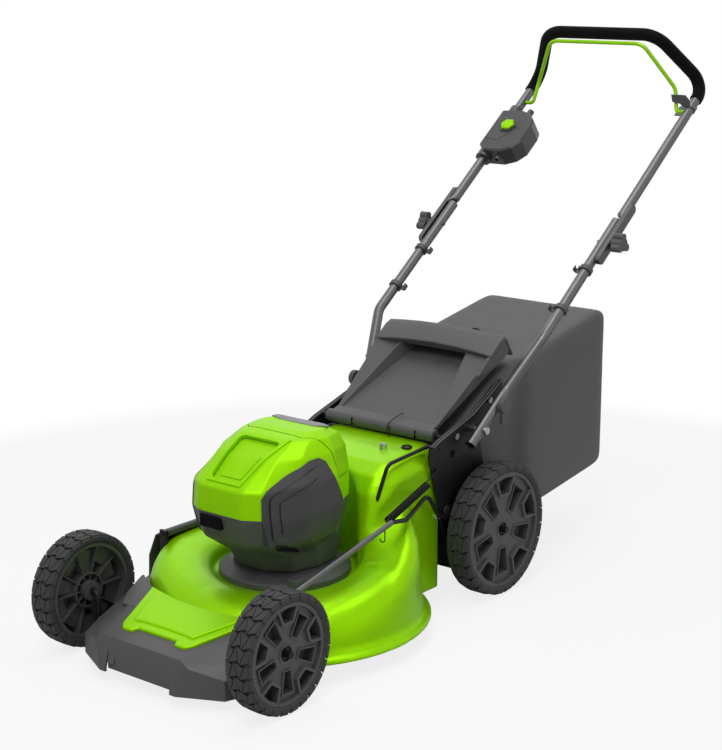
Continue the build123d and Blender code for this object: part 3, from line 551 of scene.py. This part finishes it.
class MOWER_OT_deck(bpy.types.Operator):
    """Presses the deck: bowl, ramp and tunnel blended into one steel skin"""

    bl_idname = "mower.deck"
    bl_label = "Deck"

    # Bowl profiles as radius and height, where its rim is low and where it is high; climb blends them by angle.
    centre_y = 272.0
    seat = ((0.5, 112), (112, 112), (122, 113))
    brim = ((248, 46), (254, 41.5), (260, 40), (262, 37), (262, 30), (0.5, 30))
    low_bowl = seat + (
        (128, 115), (134, 118), (142, 120.5), (152, 122), (165, 121.5), (180, 118.5), (195, 113.5), (208, 107.5),
        (220, 100), (230, 91), (237, 81), (242, 69), (244.5, 59), (245.5, 52)) + brim
    high_bowl = seat + (
        (128, 117), (132, 126), (138, 134), (150, 141), (166, 146), (186, 150), (200, 152), (212, 151.5),
        (223, 147), (231, 139), (237, 127), (241.5, 108), (244.5, 85), (245.5, 58)) + brim
    climb = ((-180, 1.0), (-160, 0.95), (-140, 0.7), (-120, 0.35), (-100, 0.08), (-60, 0.0), (-35, 0.06),
             (-20, 0.22), (-8, 0.42), (2, 0.6), (12, 0.85), (20, 1.0), (180, 1.0))
    # Ramp stations as angle, height and outer radius.
    scroll = ((-10, 104, 240), (2, 128, 243), (12, 145, 245), (20, 158, 245), (28, 174, 244), (36, 192, 241),
              (43, 208, 237), (50, 222, 233), (57, 239, 229), (64, 256, 224), (72, 268, 218))
    scroll_inside = 140
    scroll_foot = 90
    # Tunnel's side outline as y and z.
    rear_y = 548
    tunnel = ((340, 32), (346, 140), (372, 250), (392, 278), (424, 294), (474, 303), (rear_y, 308), (rear_y, 32))
    tunnel_half = 136
    # Pocket for the motor base, in metres.
    pocket_radii = (0.128, 0.134)
    pocket_depth = 0.3
    voxel = 0.0033
    steel = 0.0025
    # Opening under the side door, from the bowl's centre.
    door = ((-275, -60, 52), (-200, 60, 100))

    def execute(self, context):
        pocket = Matrix.Translation(at(0, self.centre_y, self.seat[0][1]) + Vector((0, 0, self.pocket_depth / 2)))
        tool = to_object(cone_mesh(pocket, *self.pocket_radii, self.pocket_depth, 96))
        solid = worked(self.tunnel_block(), cutting(tool), tools=(tool,))
        self.add_bowl(solid)
        self.add_scroll(solid)
        skin = worked(solid, ("REMESH", {"mode": "VOXEL", "voxel_size": self.voxel}))
        self.blend(skin)
        self.open_up(skin)
        smooth_faces(skin)
        thicken(keep(skin, "deck_pressing", "chassis", "green_paint", "deck"), self.steel)
        return {"FINISHED"}

    def turned(self, degrees, reach, z):
        """A point at an angle and a distance from the bowl's axis."""
        angle = math.radians(degrees)
        return at(reach * math.cos(angle), self.centre_y + reach * math.sin(angle), z)

    def add_bowl(self, mesh):
        """Bowl whose rim is low in front and climbs towards both sides."""
        rings = []
        for angle in range(-180, 180, 4):
            share = between(self.climb, angle)
            rings.append([self.turned(angle, r + (r2 - r) * share, z + (z2 - z) * share)
                          for (r, z), (r2, z2) in zip(self.low_bowl, self.high_bowl)])
        bowl = ring_loft(rings + rings[:1], caps=False)
        bmesh.ops.remove_doubles(bowl, verts=bowl.verts, dist=0.00002)
        outward(bowl)
        join(mesh, bowl)

    def add_scroll(self, mesh):
        """Ramp on which the bowl's left side climbs to the tunnel."""
        inside, foot = self.scroll_inside, self.scroll_foot
        rings = []
        for angle, top, reach in self.scroll:
            profile = ((inside, foot), (inside, top - 24), (inside + 16, top - 13), (inside + 36, top - 6),
                       (reach - 42, top - 1.5), (reach - 30, top), (reach - 20, top - 2), (reach - 11, top - 8),
                       (reach - 5, top - 18), (reach - 1, top - 34), (reach, top - 60), (reach, foot))
            rings.append([self.turned(angle, r, z) for r, z in profile])
        join(mesh, ring_loft(rings))

    def tunnel_block(self):
        """Block of the rear tunnel, its upper edges rounded."""
        mesh = bmesh.new()
        face = mesh.faces.new([mesh.verts.new(at(self.tunnel_half, y, z)) for y, z in self.tunnel])
        bmesh.ops.translate(mesh, verts=pull(mesh, [face]), vec=(-2 * self.tunnel_half / 1000, 0, 0))
        outward(mesh)
        upper = [e for e in mesh.edges
                 if abs(e.verts[0].co.x - e.verts[1].co.x) < 1e-6 and min(v.co.z for v in e.verts) > 0.13]
        bmesh.ops.bevel(mesh, geom=upper, offset=0.04, segments=8, profile=0.5, affect="EDGES", material=-1)
        return mesh

    def blend(self, mesh):
        """Smooths the pressing all over a little, and where the bowl runs into the tunnel a lot."""
        relax(mesh, mesh.verts, 5)
        axis = at(0, self.centre_y, 0)
        near = []
        for vert in mesh.verts:
            away = vert.co - axis
            reach = math.hypot(away.x, away.y)
            if away.y > 0.06 and 0.135 < reach < 0.30 and 0.06 < vert.co.z < 0.26 and abs(away.x) < 0.19:
                near.append(vert)
        relax(mesh, near, 26)

    def open_up(self, mesh):
        """Opens the skin below, at the rear and under the side door."""
        mesh.normal_update()
        rear = at(0, self.rear_y, 0).y
        gone = [f for f in mesh.faces if (f.calc_center_median().z < 0.0325 and f.normal.z < -0.6)
                or (f.calc_center_median().y > rear - 0.004 and f.normal.y > 0.6)]
        bmesh.ops.delete(mesh, geom=gone, context="FACES")
        low, high = (at(x, self.centre_y + y, z) for x, y, z in self.door)

        def by_door(face, side, margin):
            spot = face.calc_center_median()
            return spot.x < side and low.y - margin < spot.y < high.y + margin

        for axis, limit in ((1, low.y), (1, high.y), (2, low.z), (2, high.z)):
            normal = Vector((0, 0, 0))
            normal[axis] = 1.0
            near = [f for f in mesh.faces if by_door(f, -0.19, 0.02)]
            bmesh.ops.bisect_plane(mesh, geom=whole(near), plane_co=normal * limit, plane_no=normal)
        gone = [f for f in mesh.faces if by_door(f, high.x, 0.0) and low.z < f.calc_center_median().z < high.z]
        bmesh.ops.delete(mesh, geom=gone, context="FACES")


class MOWER_OT_motor_pod(bpy.types.Operator):
    """Shapes the motor pod: shroud, cover with a sunk panel, battery lid and side panels"""

    bl_idname = "mower.motor_pod"
    bl_label = "Motor pod"

    # Levels of the pod, each with x and y of its left half.
    rings = (
        (138, ((34, 188), (70, 214), (86, 268), (76, 322), (40, 350))),
        (170, ((38, 170), (76, 200), (92, 262), (84, 326), (46, 348))),
        (204, ((50, 122), (80, 142), (101, 215), (106, 292), (78, 340))),
        (254, ((50, 107), (80, 124), (106, 205), (112, 292), (90, 344))),
        (303, ((49, 109), (78, 127), (104, 205), (110, 290), (90, 345))),
        (345, ((48, 172), (66, 178), (92, 214), (101, 288), (84, 342))),
        (368, ((47, 224), (60, 230), (78, 250), (88, 290), (76, 332))),
        (377, ((40, 264), (50, 268), (62, 280), (66, 298), (56, 320))),
    )
    crease = 0.62
    wall = 0.0028
    # Parting lines: shroud to cover, and cover to lid with its splayed corners.
    split = 255.5
    lid_y = 248.0
    lid_z = 300.0
    splay = 0.9
    splay_x = 60
    gap = 1.8
    # Outlines on the front slope, across and up it, and the slope's foot and direction.
    sunk = ((-34, 10), (34, 10), (45, 116), (-45, 116))
    rim = ((-38, 3), (38, 3), (55, 132), (-55, 132))
    slope_foot = (113, 309)
    slope_run, slope_rise = 0.885, 0.466
    # Lid strip as x and y, and side panel as y and z.
    lens = ((-66, 314), (-40, 303), (40, 303), (66, 314), (56, 330), (0, 338), (-56, 330))
    outline = ((125, 292), (136, 306), (181, 325), (229, 341), (250, 342), (264, 334), (306, 250), (304, 236),
               (269, 191), (226, 177), (184, 183), (144, 202), (133, 212), (124, 258))

    def execute(self, context):
        self.keep_part("motor_shroud_skin", "motor_shroud", "dark_plastic", [((0, 0, self.split), (0, 0, 1))])
        self.cover()
        self.keep_part("battery_lid_skin", "battery_lid", "green_plastic", [
            ((0, 0, self.lid_z), (0, 0, -1)), ((0, self.lid_y, 0), (0, -1, 0)),
            *(((sign * self.splay_x, self.lid_y, 0), (sign * self.splay, -1, 0)) for sign, _ in SIDES)])
        self.strip()
        self.vents()
        for sign, side in SIDES:
            self.panel(sign, side)
        return {"FINISHED"}

    def skin(self, outwards=0.0):
        """The whole pod as one rounded skin."""
        rings = []
        for level, half in self.rings:
            rings.append([at(x, y, level) for x, y in half] + [at(-x, y, level) for x, y in reversed(half)])
        cage = ring_loft(rings)
        crease = cage.edges.layers.float.new("crease_edge")
        for edge in cage.edges:
            edge[crease] = self.crease
        mesh = worked(cage, ("SUBSURF", {"levels": 4, "render_levels": 4}))
        if outwards:
            swell(mesh, outwards)
        return mesh

    def trimmed(self, planes):
        """The skin behind all of some planes."""
        mesh = self.skin()
        for point, normal in planes:
            trim(mesh, at(*point), normal)
        return mesh

    def keep_part(self, name, node, slot, planes):
        """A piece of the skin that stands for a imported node."""
        mesh = self.trimmed(planes)
        smooth_faces(mesh)
        thicken(keep(mesh, name, BODY_OF[node], slot, node), self.wall, 0.0006)

    def slope(self, x, up, out=0.0):
        """A point on the front slope: across, up it and out of it."""
        y, z = self.slope_foot
        return at(x, y + self.slope_run * up - self.slope_rise * out, z + self.slope_rise * up + self.slope_run * out)

    def framed(self, outwards, frame_points, grow):
        """A patch of the skin inside an outline on the front slope, grown all round."""
        mesh = self.skin(outwards)
        lift = self.slope(0, 0, 1) - self.slope(0, 0)
        trim(mesh, self.slope(0, 60, -25), -lift)
        trim_round(mesh, [self.slope(x, up) for x, up in frame_points], lift, self.slope(0, 60), grow)
        return mesh

    def sinker(self):
        """The rounded block that the panel is sunk with."""
        depth = 14
        mesh = bmesh.new()
        face = mesh.faces.new([mesh.verts.new(self.slope(x, up, -depth)) for x, up in self.sunk])
        bmesh.ops.bevel(
            mesh, geom=list(face.verts), offset=0.011, segments=6, profile=0.5, affect="VERTICES", material=-1)
        middle = self.slope(0, 60, -depth)
        lift = self.slope(0, 0, 34) - self.slope(0, 0)
        for vert in pull(mesh, list(mesh.faces)):
            vert.co = middle + (vert.co - middle) * 1.04 + lift
        outward(mesh)
        return to_object(mesh)

    def sunk_out(self, mesh, wall):
        """A skin given its wall and cut out over the sunk panel."""
        tool = self.sinker()
        shell = worked(mesh, ("SOLIDIFY", {"thickness": wall, "offset": -1.0}), cutting(tool), tools=(tool,))
        shade(shell, 38)
        return shell

    def cover(self):
        """Cover in front of and below the lid, with a sunk panel in its slope and a raised border round it."""
        front, top = self.lid_y - self.gap, self.lid_z - self.gap
        before, behind = ((0, front, 0), (0, 1, 0)), ((0, front, 0), (0, -1, 0))
        shell = self.trimmed([((0, 0, self.split), (0, 0, -1)), ((0, 0, top), (0, 0, 1))])
        corners = [(behind, ((sign * self.splay_x, front, 0), (-sign * self.splay, 1, 0))) for sign, _ in SIDES]
        for planes in ((before,), *corners):
            join(shell, self.trimmed((((0, 0, top), (0, 0, -1)), *planes)))
        bmesh.ops.remove_doubles(shell, verts=shell.verts, dist=0.00005)
        shell = self.sunk_out(shell, self.wall)
        soften(keep(shell, "top_cover_skin", "chassis", "green_plastic", "top_cover"), 0.0005, 2, 45)
        border = self.sunk_out(self.framed(0.0026, self.rim, 0.0), 0.003)
        soften(keep(border, "cover_border", "chassis", "green_plastic"), 0.0014, 3, 45)
        floor = self.framed(-0.005, self.sunk, 0.006)
        thicken(keep(floor, "cover_sunk_panel", "chassis", "green_plastic"), 0.002)
        step = self.framed(-0.0036, self.sunk, -0.012)
        trim(step, self.slope(0, 78), self.slope(0, 79) - self.slope(0, 78))
        thicken(keep(step, "cover_step", "chassis", "green_plastic"), 0.0012, 0.0006)

    def strip(self):
        """Smoked strip along the lid's rear top edge."""
        mesh = self.skin(0.0007)
        trim(mesh, at(0, 0, 356), (0, 0, -1))
        trim_round(mesh, [at(x, y, 0) for x, y in self.lens], Vector((0, 0, 1)), at(0, 325, 0))
        for vert in mesh.verts:
            vert.co.z += 0.0004 + 0.14 * (vert.co.y - at(0, 305, 0).y)
        thicken(keep(mesh, "lid_strip", "lid", "window", "lid_window"), 0.012, 0.0012)

    def vents(self):
        """Louvred vent under the nose, slots under the left panel, and the plug socket on the base."""
        block = box_mesh((-46, 105.5, 228), (2, 116, 250))
        for level in (233, 239, 245):
            join(block, box_mesh((-44, 104.6, level - 1.1), (0, 108, level + 1.1)))
        soften(keep(block, "nose_vent", "chassis", "rubber", look="shadow"), 0.0006)
        slots = bmesh.new()
        for step in range(5):
            y, z = 158 + 9.5 * step, 199 - 2.6 * step
            join(slots, box_mesh((86, y - 3, z - 1.4), (97.4 + 0.5 * step, y + 3, z + 1.4)))
        soften(keep(slots, "panel_slots", "chassis", "rubber", look="shadow"), 0.0006)
        plug = box_mesh((84, 184, 124), (104, 204, 139))
        soften(keep(plug, "base_socket", "chassis", "dark_plastic"), 0.002)

    def panel(self, sign, side):
        """Dark side panel that stands proud of the pod, with two raised plates in it, left bare."""
        corners = [at(0, y, z) for y, z in self.outline]
        middle = sum(corners, Vector()) / len(corners)
        for name, out, inset, nodes in (
            ("side_panel_", 0.0024, 0.0, ("side_panel_" + side,)),
            ("side_plate_", 0.0062, 0.013, ()),
            ("side_badge_", 0.0088, 0.029, ()),
        ):
            mesh = self.skin(out)
            trim(mesh, at(sign * 20, 0, 0), (-sign, 0, 0))
            trim_round(mesh, corners, Vector((1, 0, 0)), middle, -inset)
            piece = keep(mesh, name + "skin_" + side, "chassis", "panel_plastic", *nodes)
            thicken(piece, 0.006, 0.0024, 3)


class MOWER_OT_grass_bag(bpy.types.Operator):
    """Sews the grass bag: a lofted skin that sags between its wires, with piping round its front"""

    bl_idname = "mower.grass_bag"
    bl_label = "Grass bag"

    # Height of the top and the bottom, and half the width, by distance back.
    top = ((566, 292), (740, 411), (861, 436), (1097, 477), (1110, 478))
    bottom = ((566, 183), (692, 177), (775, 114), (880, 122), (1110, 153))
    width = ((566, 133.5), (795, 133.5), (822, 147.5), (1110, 147.5))
    stations = (567, 580, 610, 650, 690, 720, 745, 772, 795, 808, 822, 850, 880, 920, 960, 1000, 1040, 1072, 1088,
                1097, 1102, 1105)
    rounding = {1088: 1.0, 1097: 4.0, 1102: 8.5, 1105: 14.0}
    corner = 15.0
    per_side = 9

    def execute(self, context):
        cage = ring_loft([self.ring(y, self.rounding.get(y, 0.0)) for y in self.stations], caps=False)
        behind = at(0, 1100, 0).y
        rear = [e for e in cage.edges if e.is_boundary and min(v.co.y for v in e.verts) > behind]
        filled = bmesh.ops.holes_fill(cage, edges=rear, sides=0)["faces"]
        for depth in (0.03, 0.04, 0.03):
            bmesh.ops.inset_region(cage, faces=filled, thickness=depth, depth=0.0)
        self.sag(cage)
        mesh = worked(cage, ("SUBSURF", {"levels": 1, "render_levels": 1}))
        smooth_faces(mesh)
        area = sum(face.calc_area() for face in mesh.faces)
        piece = keep(mesh, "bag_cloth", "bag", "bag_fabric", "grass_bag")
        thicken(piece, 0.0016)
        trim_piece = keep(tube(self.ring(570, -0.8), 0.0026, closed=True), "bag_piping", "bag", "bag_fabric")
        eye = [at(-40 + x, 900 + y, 440 + 0.175 * y) for x, y in circle(8, 8, 24)]
        keep(tube(eye, 0.002, closed=True), "bag_eyelet", "bag", "black_steel")
        return {"FINISHED"}

    def size(self, y):
        """Half width, bottom and top at a distance back."""
        return between(self.width, y), between(self.bottom, y), between(self.top, y)

    def ring(self, y, inset):
        """Rounded rectangle of the bag at a distance back."""
        half, low, high = self.size(y)
        right, foot, head = half - inset - self.corner, low + inset + self.corner, high - inset - self.corner
        points = []
        for quarter, (x, z) in enumerate(((right, head), (-right, head), (-right, foot), (right, foot))):
            for step in range(4):
                angle = math.radians(90 * quarter + 30 * step)
                points.append((x + self.corner * math.cos(angle), z + self.corner * math.sin(angle)))
        full = []
        for index, ((x, z), (x2, z2)) in enumerate(around(points)):
            full.append((x, z))
            if index % 4 == 3:
                for step in range(1, self.per_side + 1):
                    share = step / (self.per_side + 1)
                    full.append((x + (x2 - x) * share, z + (z2 - z) * share))
        return [at(x, y, z) for x, z in full]

    def sag(self, mesh):
        """Lets the panels hang a little between their edges."""
        mesh.normal_update()
        moves = []
        for vert in mesh.verts:
            x, y, z = vert.co.x * 1000, (vert.co.y - AXLE_Y) * 1000, vert.co.z * 1000
            half, low, high = self.size(y)
            along = math.sin(math.pi * min(1.0, max(0.0, (y - 566) / 540)))
            across = max(0.0, 1 - (x / half) ** 2)
            upright = max(0.0, 1 - ((2 * z - low - high) / (high - low)) ** 2)
            ripple = math.sin(y / 41 + z / 63) * math.sin(z / 37 - y / 90)
            move = Vector((0, 0, 0))
            if abs(vert.normal.z) > 0.7:
                move.z = -(5.0 * across * along + 0.8 * ripple * across)
            elif abs(vert.normal.x) > 0.7:
                move.x = -math.copysign(3.2 * upright * along + 0.9 * ripple * upright, x)
            elif vert.normal.y > 0.7:
                move.y = -(3.0 * across * upright)
            moves.append((vert, move / 1000))
        for vert, move in moves:
            vert.co += move


class MOWER_OT_mouldings(bpy.types.Operator):
    """Rounds the moulded and bent pieces, and adds their trim, folds and small fasteners"""

    bl_idname = "mower.mouldings"
    bl_label = "Mouldings"

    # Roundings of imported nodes, in metres.
    roundings = (
        *(("wheel_" + end, 0.0007) for end in ENDS),
        ("front_bumper", 0.003), ("switch_box", 0.0016), ("handle_bracket_left", 0.0006),
        ("handle_bracket_right", 0.0006), ("motor_base", 0.0015), ("side_door", 0.0008), ("bag_frame", 0.001),
        ("knob_left", 0.0014), ("knob_right", 0.0014), ("handle_lock_left", 0.0012), ("handle_lock_right", 0.0012),
    )
    # Left halves of the bumper's top pieces, as x and y, and how they rise backwards from the front edge.
    hood = ((0, 54), (52, 56), (88, 62), (127, 71), (150, 79), (178, 97), (180, 92), (158, 34), (138, 6))
    trim = ((0, -46), (45, -46), (50, -57), (71, -57), (82, -47), (126, 67), (88, 59), (52, 53), (0, 51))
    plate = ((0, -30), (46, -31), (68, -34), (105, 50), (84, 45), (50, 40), (0, 38))
    hood_rise = 0.19
    hood_front = -83
    # Planes by their foot's y and z and their angle: switch box, feet of the upper tubes, and flap.
    switch_base = (1209, 795.49, 37)
    foot_base = (1053, 677.94, 37)
    flap_base = (545, 322, 36.5)
    # Side outline of the brackets' upper edge, as y and z.
    fold_line = ((509, 311.6), (529, 320), (630, 350), (690, 380), (721, 398.4))

    def execute(self, context):
        for node, width in self.roundings:
            round_node(node, width)
        self.trim_plate()
        self.chin()
        self.switch_panel()
        self.stop_flag()
        self.flap_cover()
        self.flap_marks()
        self.tube_feet()
        self.bracket_folds()
        for sign, side in SIDES:
            # Painted shade: a dark rubber disc fills each bracket hole and stands for the shade inside it.
            plug = stud(at(sign * 143, 560, 180), 0.0094, 0.005, 32)
            soften(keep(plug, "bracket_hole_shade_" + side, "chassis", "rubber"), 0.0008)
        return {"FINISHED"}

    def trim_plate(self):
        """Rear of the bumper's top, the coloured trim on it and the trim's raised middle, left bare."""
        for name, half, foot, head, slot, nodes, width in (
            ("bumper_hood", self.hood, 73.0, 77.6, "dark_plastic", (), 0.0012),
            ("trim_cover", self.trim, 74.0, 82.0, "green_plastic", ("bumper_trim",), 0.0026),
            ("trim_plate", self.plate, 80.0, 85.4, "green_plastic", (), 0.0028),
        ):
            outline = list(half) + [(-x, y) for x, y in reversed(half) if x]
            rings = [[at(x, y, level + self.hood_rise * (y - self.hood_front)) for x, y in outline]
                     for level in (foot, head)]
            soften(keep(ring_loft(rings), name, "chassis", slot, *nodes), width, 3)

    def chin(self):
        """Front wall of the bumper between its feet."""
        outline = ((-99, 33), (-60, 33), (-60, 66), (-99, 70))
        rings = [[at(x, -96 + 13 * (z - 23) / 54 + back, z) for x, z in outline] for back in (2.2, 5.0)]
        soften(keep(ring_loft(rings), "bumper_chin", "chassis", "dark_plastic"), 0.001)

    def switch_panel(self):
        """Dark inset round the start button on the switch box."""
        outline = ((-213, 40), (-213, -30), (-182, -33), (-148, 8), (-150, 22), (-166, 42))
        rings = [[leaning(self.switch_base, x, along, out) for x, along in outline] for out in (22.4, 23.9)]
        soften(keep(ring_loft(rings), "switch_panel", "upper_handle", "dark_plastic", look="panel_plastic"), 0.0007)

    def stop_flag(self):
        """Flag of the bail stop, in front of the bail's left leg."""
        outline = ((165.5, 898.9), (198, 899.1), (208.2, 889.6), (210.5, 875.4), (192.7, 875.2), (187.5, 880.7),
                   (172.8, 882.8), (168.6, 884.7))
        rings = [[at(x, y, z) for x, z in outline] for y in (1295, 1297.5)]
        soften(keep(ring_loft(rings), "bail_stop_flag", "upper_handle", "dark_plastic", look="panel_plastic"), 0.0006)

    def flap_cover(self):
        """Rear flap: sinking pan between two wedges, arched brow, skirts, and an edge that runs into the barrel."""
        def spot(x, along, out):
            return leaning(self.flap_base, x, along, out)

        def across(outline, ends):
            return ring_loft([[spot(x, along, out) for along, out in outline] for x in ends])

        pan = ((112, 18, 1), (-112, 18, 1), (-84, 252, -29), (84, 252, -29))
        wedge_top = ((117, 4, 2), (111, 20, 3), (78, 204, 3), (70, 250, -4), (134, 250, -4), (134, 204, 3),
                     (126, 100, 3))
        wedge_foot = ((117, 4, -4), (109, 20, -4), (66, 204, -27), (58, 250, -32), (134, 250, -32),
                      (134, 204, -27), (126, 100, -15))
        skirt = ((150, 2), (200, 4), (246, 4), (256, -4), (252, -34), (222, -32), (170, -10))
        apron = ((0, 11.6), (10, 7.5), (24, 2.6), (24, -3), (4, -8))
        mesh = ring_loft([[spot(x, along, out - drop) for x, along, out in pan] for drop in (0, 3)])
        for sign, _ in SIDES:
            join(mesh, ring_loft([
                [spot(sign * x, along, out) for x, along, out in ring] for ring in (wedge_foot, wedge_top)]))
            join(mesh, across(skirt, (sign * 130, sign * 136.4)))
        brow, half = [], 138
        for x in (-half, -126, -100, -60, 0, 60, 100, 126, half):
            arch = 1 - (x / half) ** 2
            high, front = 6 + 10 * arch, 199 + 4 * arch
            brow.append([spot(x, along, out) for along, out in (
                (front, -1), (front, high - 1), (front + 3, high), (240, high), (256, high - 5),
                (262 - 4 * (1 - arch), high - 14), (256, -46), (251, -46), (254, -8), (238, -1))])
        join(mesh, ring_loft(brow))
        join(mesh, across(circle(12, 12, 28), (-127, 127)))
        join(mesh, across(apron, (-119, 119)))
        soften(keep(mesh, "rear_flap_cover", "flap", "dark_plastic", "rear_flap"), 0.0022, 3)

    def flap_marks(self):
        """Slits in the flap's barrel and the spring leg that rests on the flap."""
        slits = bmesh.new()
        for x in (-61, 89):
            join(slits, box_mesh((x - 1.5, 532.5, 314), (x + 1.5, 537, 329)))
        soften(keep(slits, "flap_slits", "flap", "rubber", look="shadow"), 0.0005)
        leg = [at(24, 532, 318), at(24.5, 532.6, 327), at(27, 540, 337), at(34, 570, 346.4)]
        keep(tube(leg, 0.0009, smooth=True), "flap_spring_leg", "flap", "black_steel")

    def tube_feet(self):
        """Squeezed ends of the upper tubes, over the ends of the lower ones."""
        stations = ((3, 204, 10.2, 10.2), (-2, 204, 10.2, 10.2), (-7, 206.5, 8.4, 10.1), (-12, 210.5, 5.6, 9.8),
                    (-16, 213.5, 4.6, 9.6))
        for sign, side in SIDES:
            foot = ring_loft([
                [leaning(self.foot_base, sign * (middle + x), along, out) for x, out in circle(wide, tall, 28)]
                for along, middle, wide, tall in stations])
            shade(foot, 40)
            keep(foot, "tube_foot_" + side, "upper_handle", "tube_steel")

    def bracket_folds(self):
        """Folded top edges of the brackets, each a double line in a lighter grey than the steel as painted highlight,
        and the chamber's side bolts.
        """
        for sign, side in SIDES:
            fold = bmesh.new()
            for x, down in ((144.6, 0.2), (150.6, 0.4)):
                join(fold, tube([at(sign * x, y, z - down) for y, z in self.fold_line], 0.0013))
            # Painted highlight: the folds take the lighter grey of the dark moulding instead of the bracket's black
            # steel.
            keep(fold, "bracket_fold_highlight_" + side, "chassis", "black_steel", look="dark_plastic")
            bolt = stud(at(sign * 138.5, 536, 172), 0.005, 0.006, 12)
            soften(keep(bolt, "side_bolt_" + side, "chassis", "zinc"), 0.0014)


class MOWER_OT_stage(bpy.types.Operator):
    """Sets up the camera, the lamps, the floor and the white surround"""

    bl_idname = "mower.stage"
    bl_label = "Stage"

    # Camera as fitted to the photograph: angles in degrees, distance in metres, focal length in its pixels.
    azimuth, elevation = 39.13, 13.39
    target = (110.89, 350.0, 470.78)
    distance = 3.03565
    focal_px, height_px = 1754.54, 750
    sensor = 36.0
    # Lamps by place, size and power.
    lamps = (
        ("key", (1.2, -2.4, 3.6), 1.6, 60.0),
        ("fill", (3.4, 0.4, 1.8), 2.6, 6.0),
        ("back", (-2.6, 2.2, 2.6), 2.4, 12.0),
        ("top", (0.0, 0.2, 4.2), 2.4, 54.0),
    )
    lit = (0, 0, 0.35)
    floor_radius = 6.0
    floor_drop = 0.0005
    floor_grey = 0.78
    floor_fade = (0.55, 1.5)
    floor_white = 0.82
    ambient = 0.3

    def execute(self, context):
        scene = context.scene
        scene.view_settings.view_transform = "Standard"
        self.camera(scene)
        for name, place, size, power in self.lamps:
            lamp = bpy.data.lights.new(name, "AREA")
            lamp.size = size
            lamp.energy = power
            self.aim(scene, bpy.data.objects.new(name, lamp), Vector(place), Vector(self.lit))
        self.surround(scene)
        self.floor()
        return {"FINISHED"}

    def aim(self, scene, holder, place, target):
        """Places a camera or a lamp and turns it to a target."""
        holder.location = place
        holder.rotation_euler = (target - place).to_track_quat("-Z", "Y").to_euler()
        scene.collection.objects.link(holder)

    def camera(self, scene):
        azimuth, elevation = math.radians(self.azimuth), math.radians(self.elevation)
        level = math.cos(elevation)
        away = Vector((math.sin(azimuth) * level, -math.cos(azimuth) * level, math.sin(elevation)))
        data = bpy.data.cameras.new("camera")
        data.sensor_fit = "VERTICAL"
        data.sensor_height = self.sensor
        data.lens = self.sensor * self.focal_px / self.height_px
        scene.camera = bpy.data.objects.new("camera", data)
        target = at(*self.target)
        self.aim(scene, scene.camera, target + away * self.distance, target)

    def empty_tree(self, owner):
        owner.use_nodes = True
        owner.node_tree.nodes.clear()
        return owner.node_tree

    def surround(self, scene):
        """White to the camera and in reflections, softer as light."""
        scene.world = bpy.data.worlds.new("surround")
        tree = self.empty_tree(scene.world)
        seen = add_node(tree, "LightPath", output="Is Camera Ray")
        for ray in ("Is Transmission Ray", "Is Glossy Ray"):
            seen = add_node(tree, "Math", {0: seen, 1: add_node(tree, "LightPath", output=ray)}, operation="MAXIMUM")
        strength = add_node(tree, "MapRange", {"Value": seen, "To Min": self.ambient, "To Max": 1.0})
        back = add_node(tree, "Background", {"Color": (1, 1, 1, 1), "Strength": strength})
        add_node(tree, "OutputWorld", {"Surface": back})

    def floor(self):
        """Pale disc that keeps the shadow and fades into the white surround."""
        mesh = bmesh.new()
        bmesh.ops.create_circle(mesh, cap_ends=True, segments=96, radius=self.floor_radius)
        floor = to_object(mesh, "floor")
        floor.location.z = -self.floor_drop
        material = bpy.data.materials.new("pale_floor")
        tree = self.empty_tree(material)
        place = add_node(tree, "TexCoord", output="Object")
        far = add_node(tree, "VectorMath", {0: place}, output="Value", operation="LENGTH")
        near, gone = self.floor_fade
        fade = add_node(tree, "MapRange", {"Value": far, "From Min": near, "From Max": gone})
        share = add_node(tree, "Math", {0: fade, 1: self.floor_white}, operation="MAXIMUM")
        direct = add_node(tree, "LightPath", output="Is Camera Ray")
        seen = add_node(tree, "Math", {0: share, 1: direct}, operation="MULTIPLY")
        matt = add_node(tree, "BsdfDiffuse", {"Color": (*[self.floor_grey] * 3, 1)})
        white = add_node(tree, "Emission", {"Color": (1, 1, 1, 1), "Strength": 1.0})
        mixed = add_node(tree, "MixShader", {0: seen, 1: matt, 2: white})
        add_node(tree, "OutputMaterial", {"Surface": mixed})
        floor.data.materials.append(material)


class MOWER_PT_sidebar(bpy.types.Panel):
    """Lists the settings and the steps in the 3D view's sidebar"""

    bl_label = "Mower"
    bl_idname = "MOWER_PT_sidebar"
    bl_space_type = "VIEW_3D"
    bl_region_type = "UI"
    bl_category = "Mower"

    def draw(self, context):
        for group in (context.scene.mower_colours, context.scene.mower_sizes):
            for key in group.__annotations__:
                self.layout.prop(group, key)
        for step in STEPS:
            self.layout.operator(step.bl_idname)


STEPS = (MOWER_OT_stage, MOWER_OT_finishes, MOWER_OT_tyres, MOWER_OT_deck, MOWER_OT_motor_pod,
         MOWER_OT_mouldings, MOWER_OT_grass_bag)
CLASSES = (MowerColours, MowerSizes) + STEPS + (MOWER_PT_sidebar,)


def register():
    for item in CLASSES:
        bpy.utils.register_class(item)
    bpy.types.Scene.mower_colours = bpy.props.PointerProperty(type=MowerColours)
    bpy.types.Scene.mower_sizes = bpy.props.PointerProperty(type=MowerSizes)


def unregister():
    del bpy.types.Scene.mower_sizes
    del bpy.types.Scene.mower_colours
    for item in reversed(CLASSES):
        bpy.utils.unregister_class(item)


def main():
    register()
    for step in STEPS:
        family, action = step.bl_idname.split(".")
        getattr(getattr(bpy.ops, family), action)()


if __name__ == "__main__":
    main()
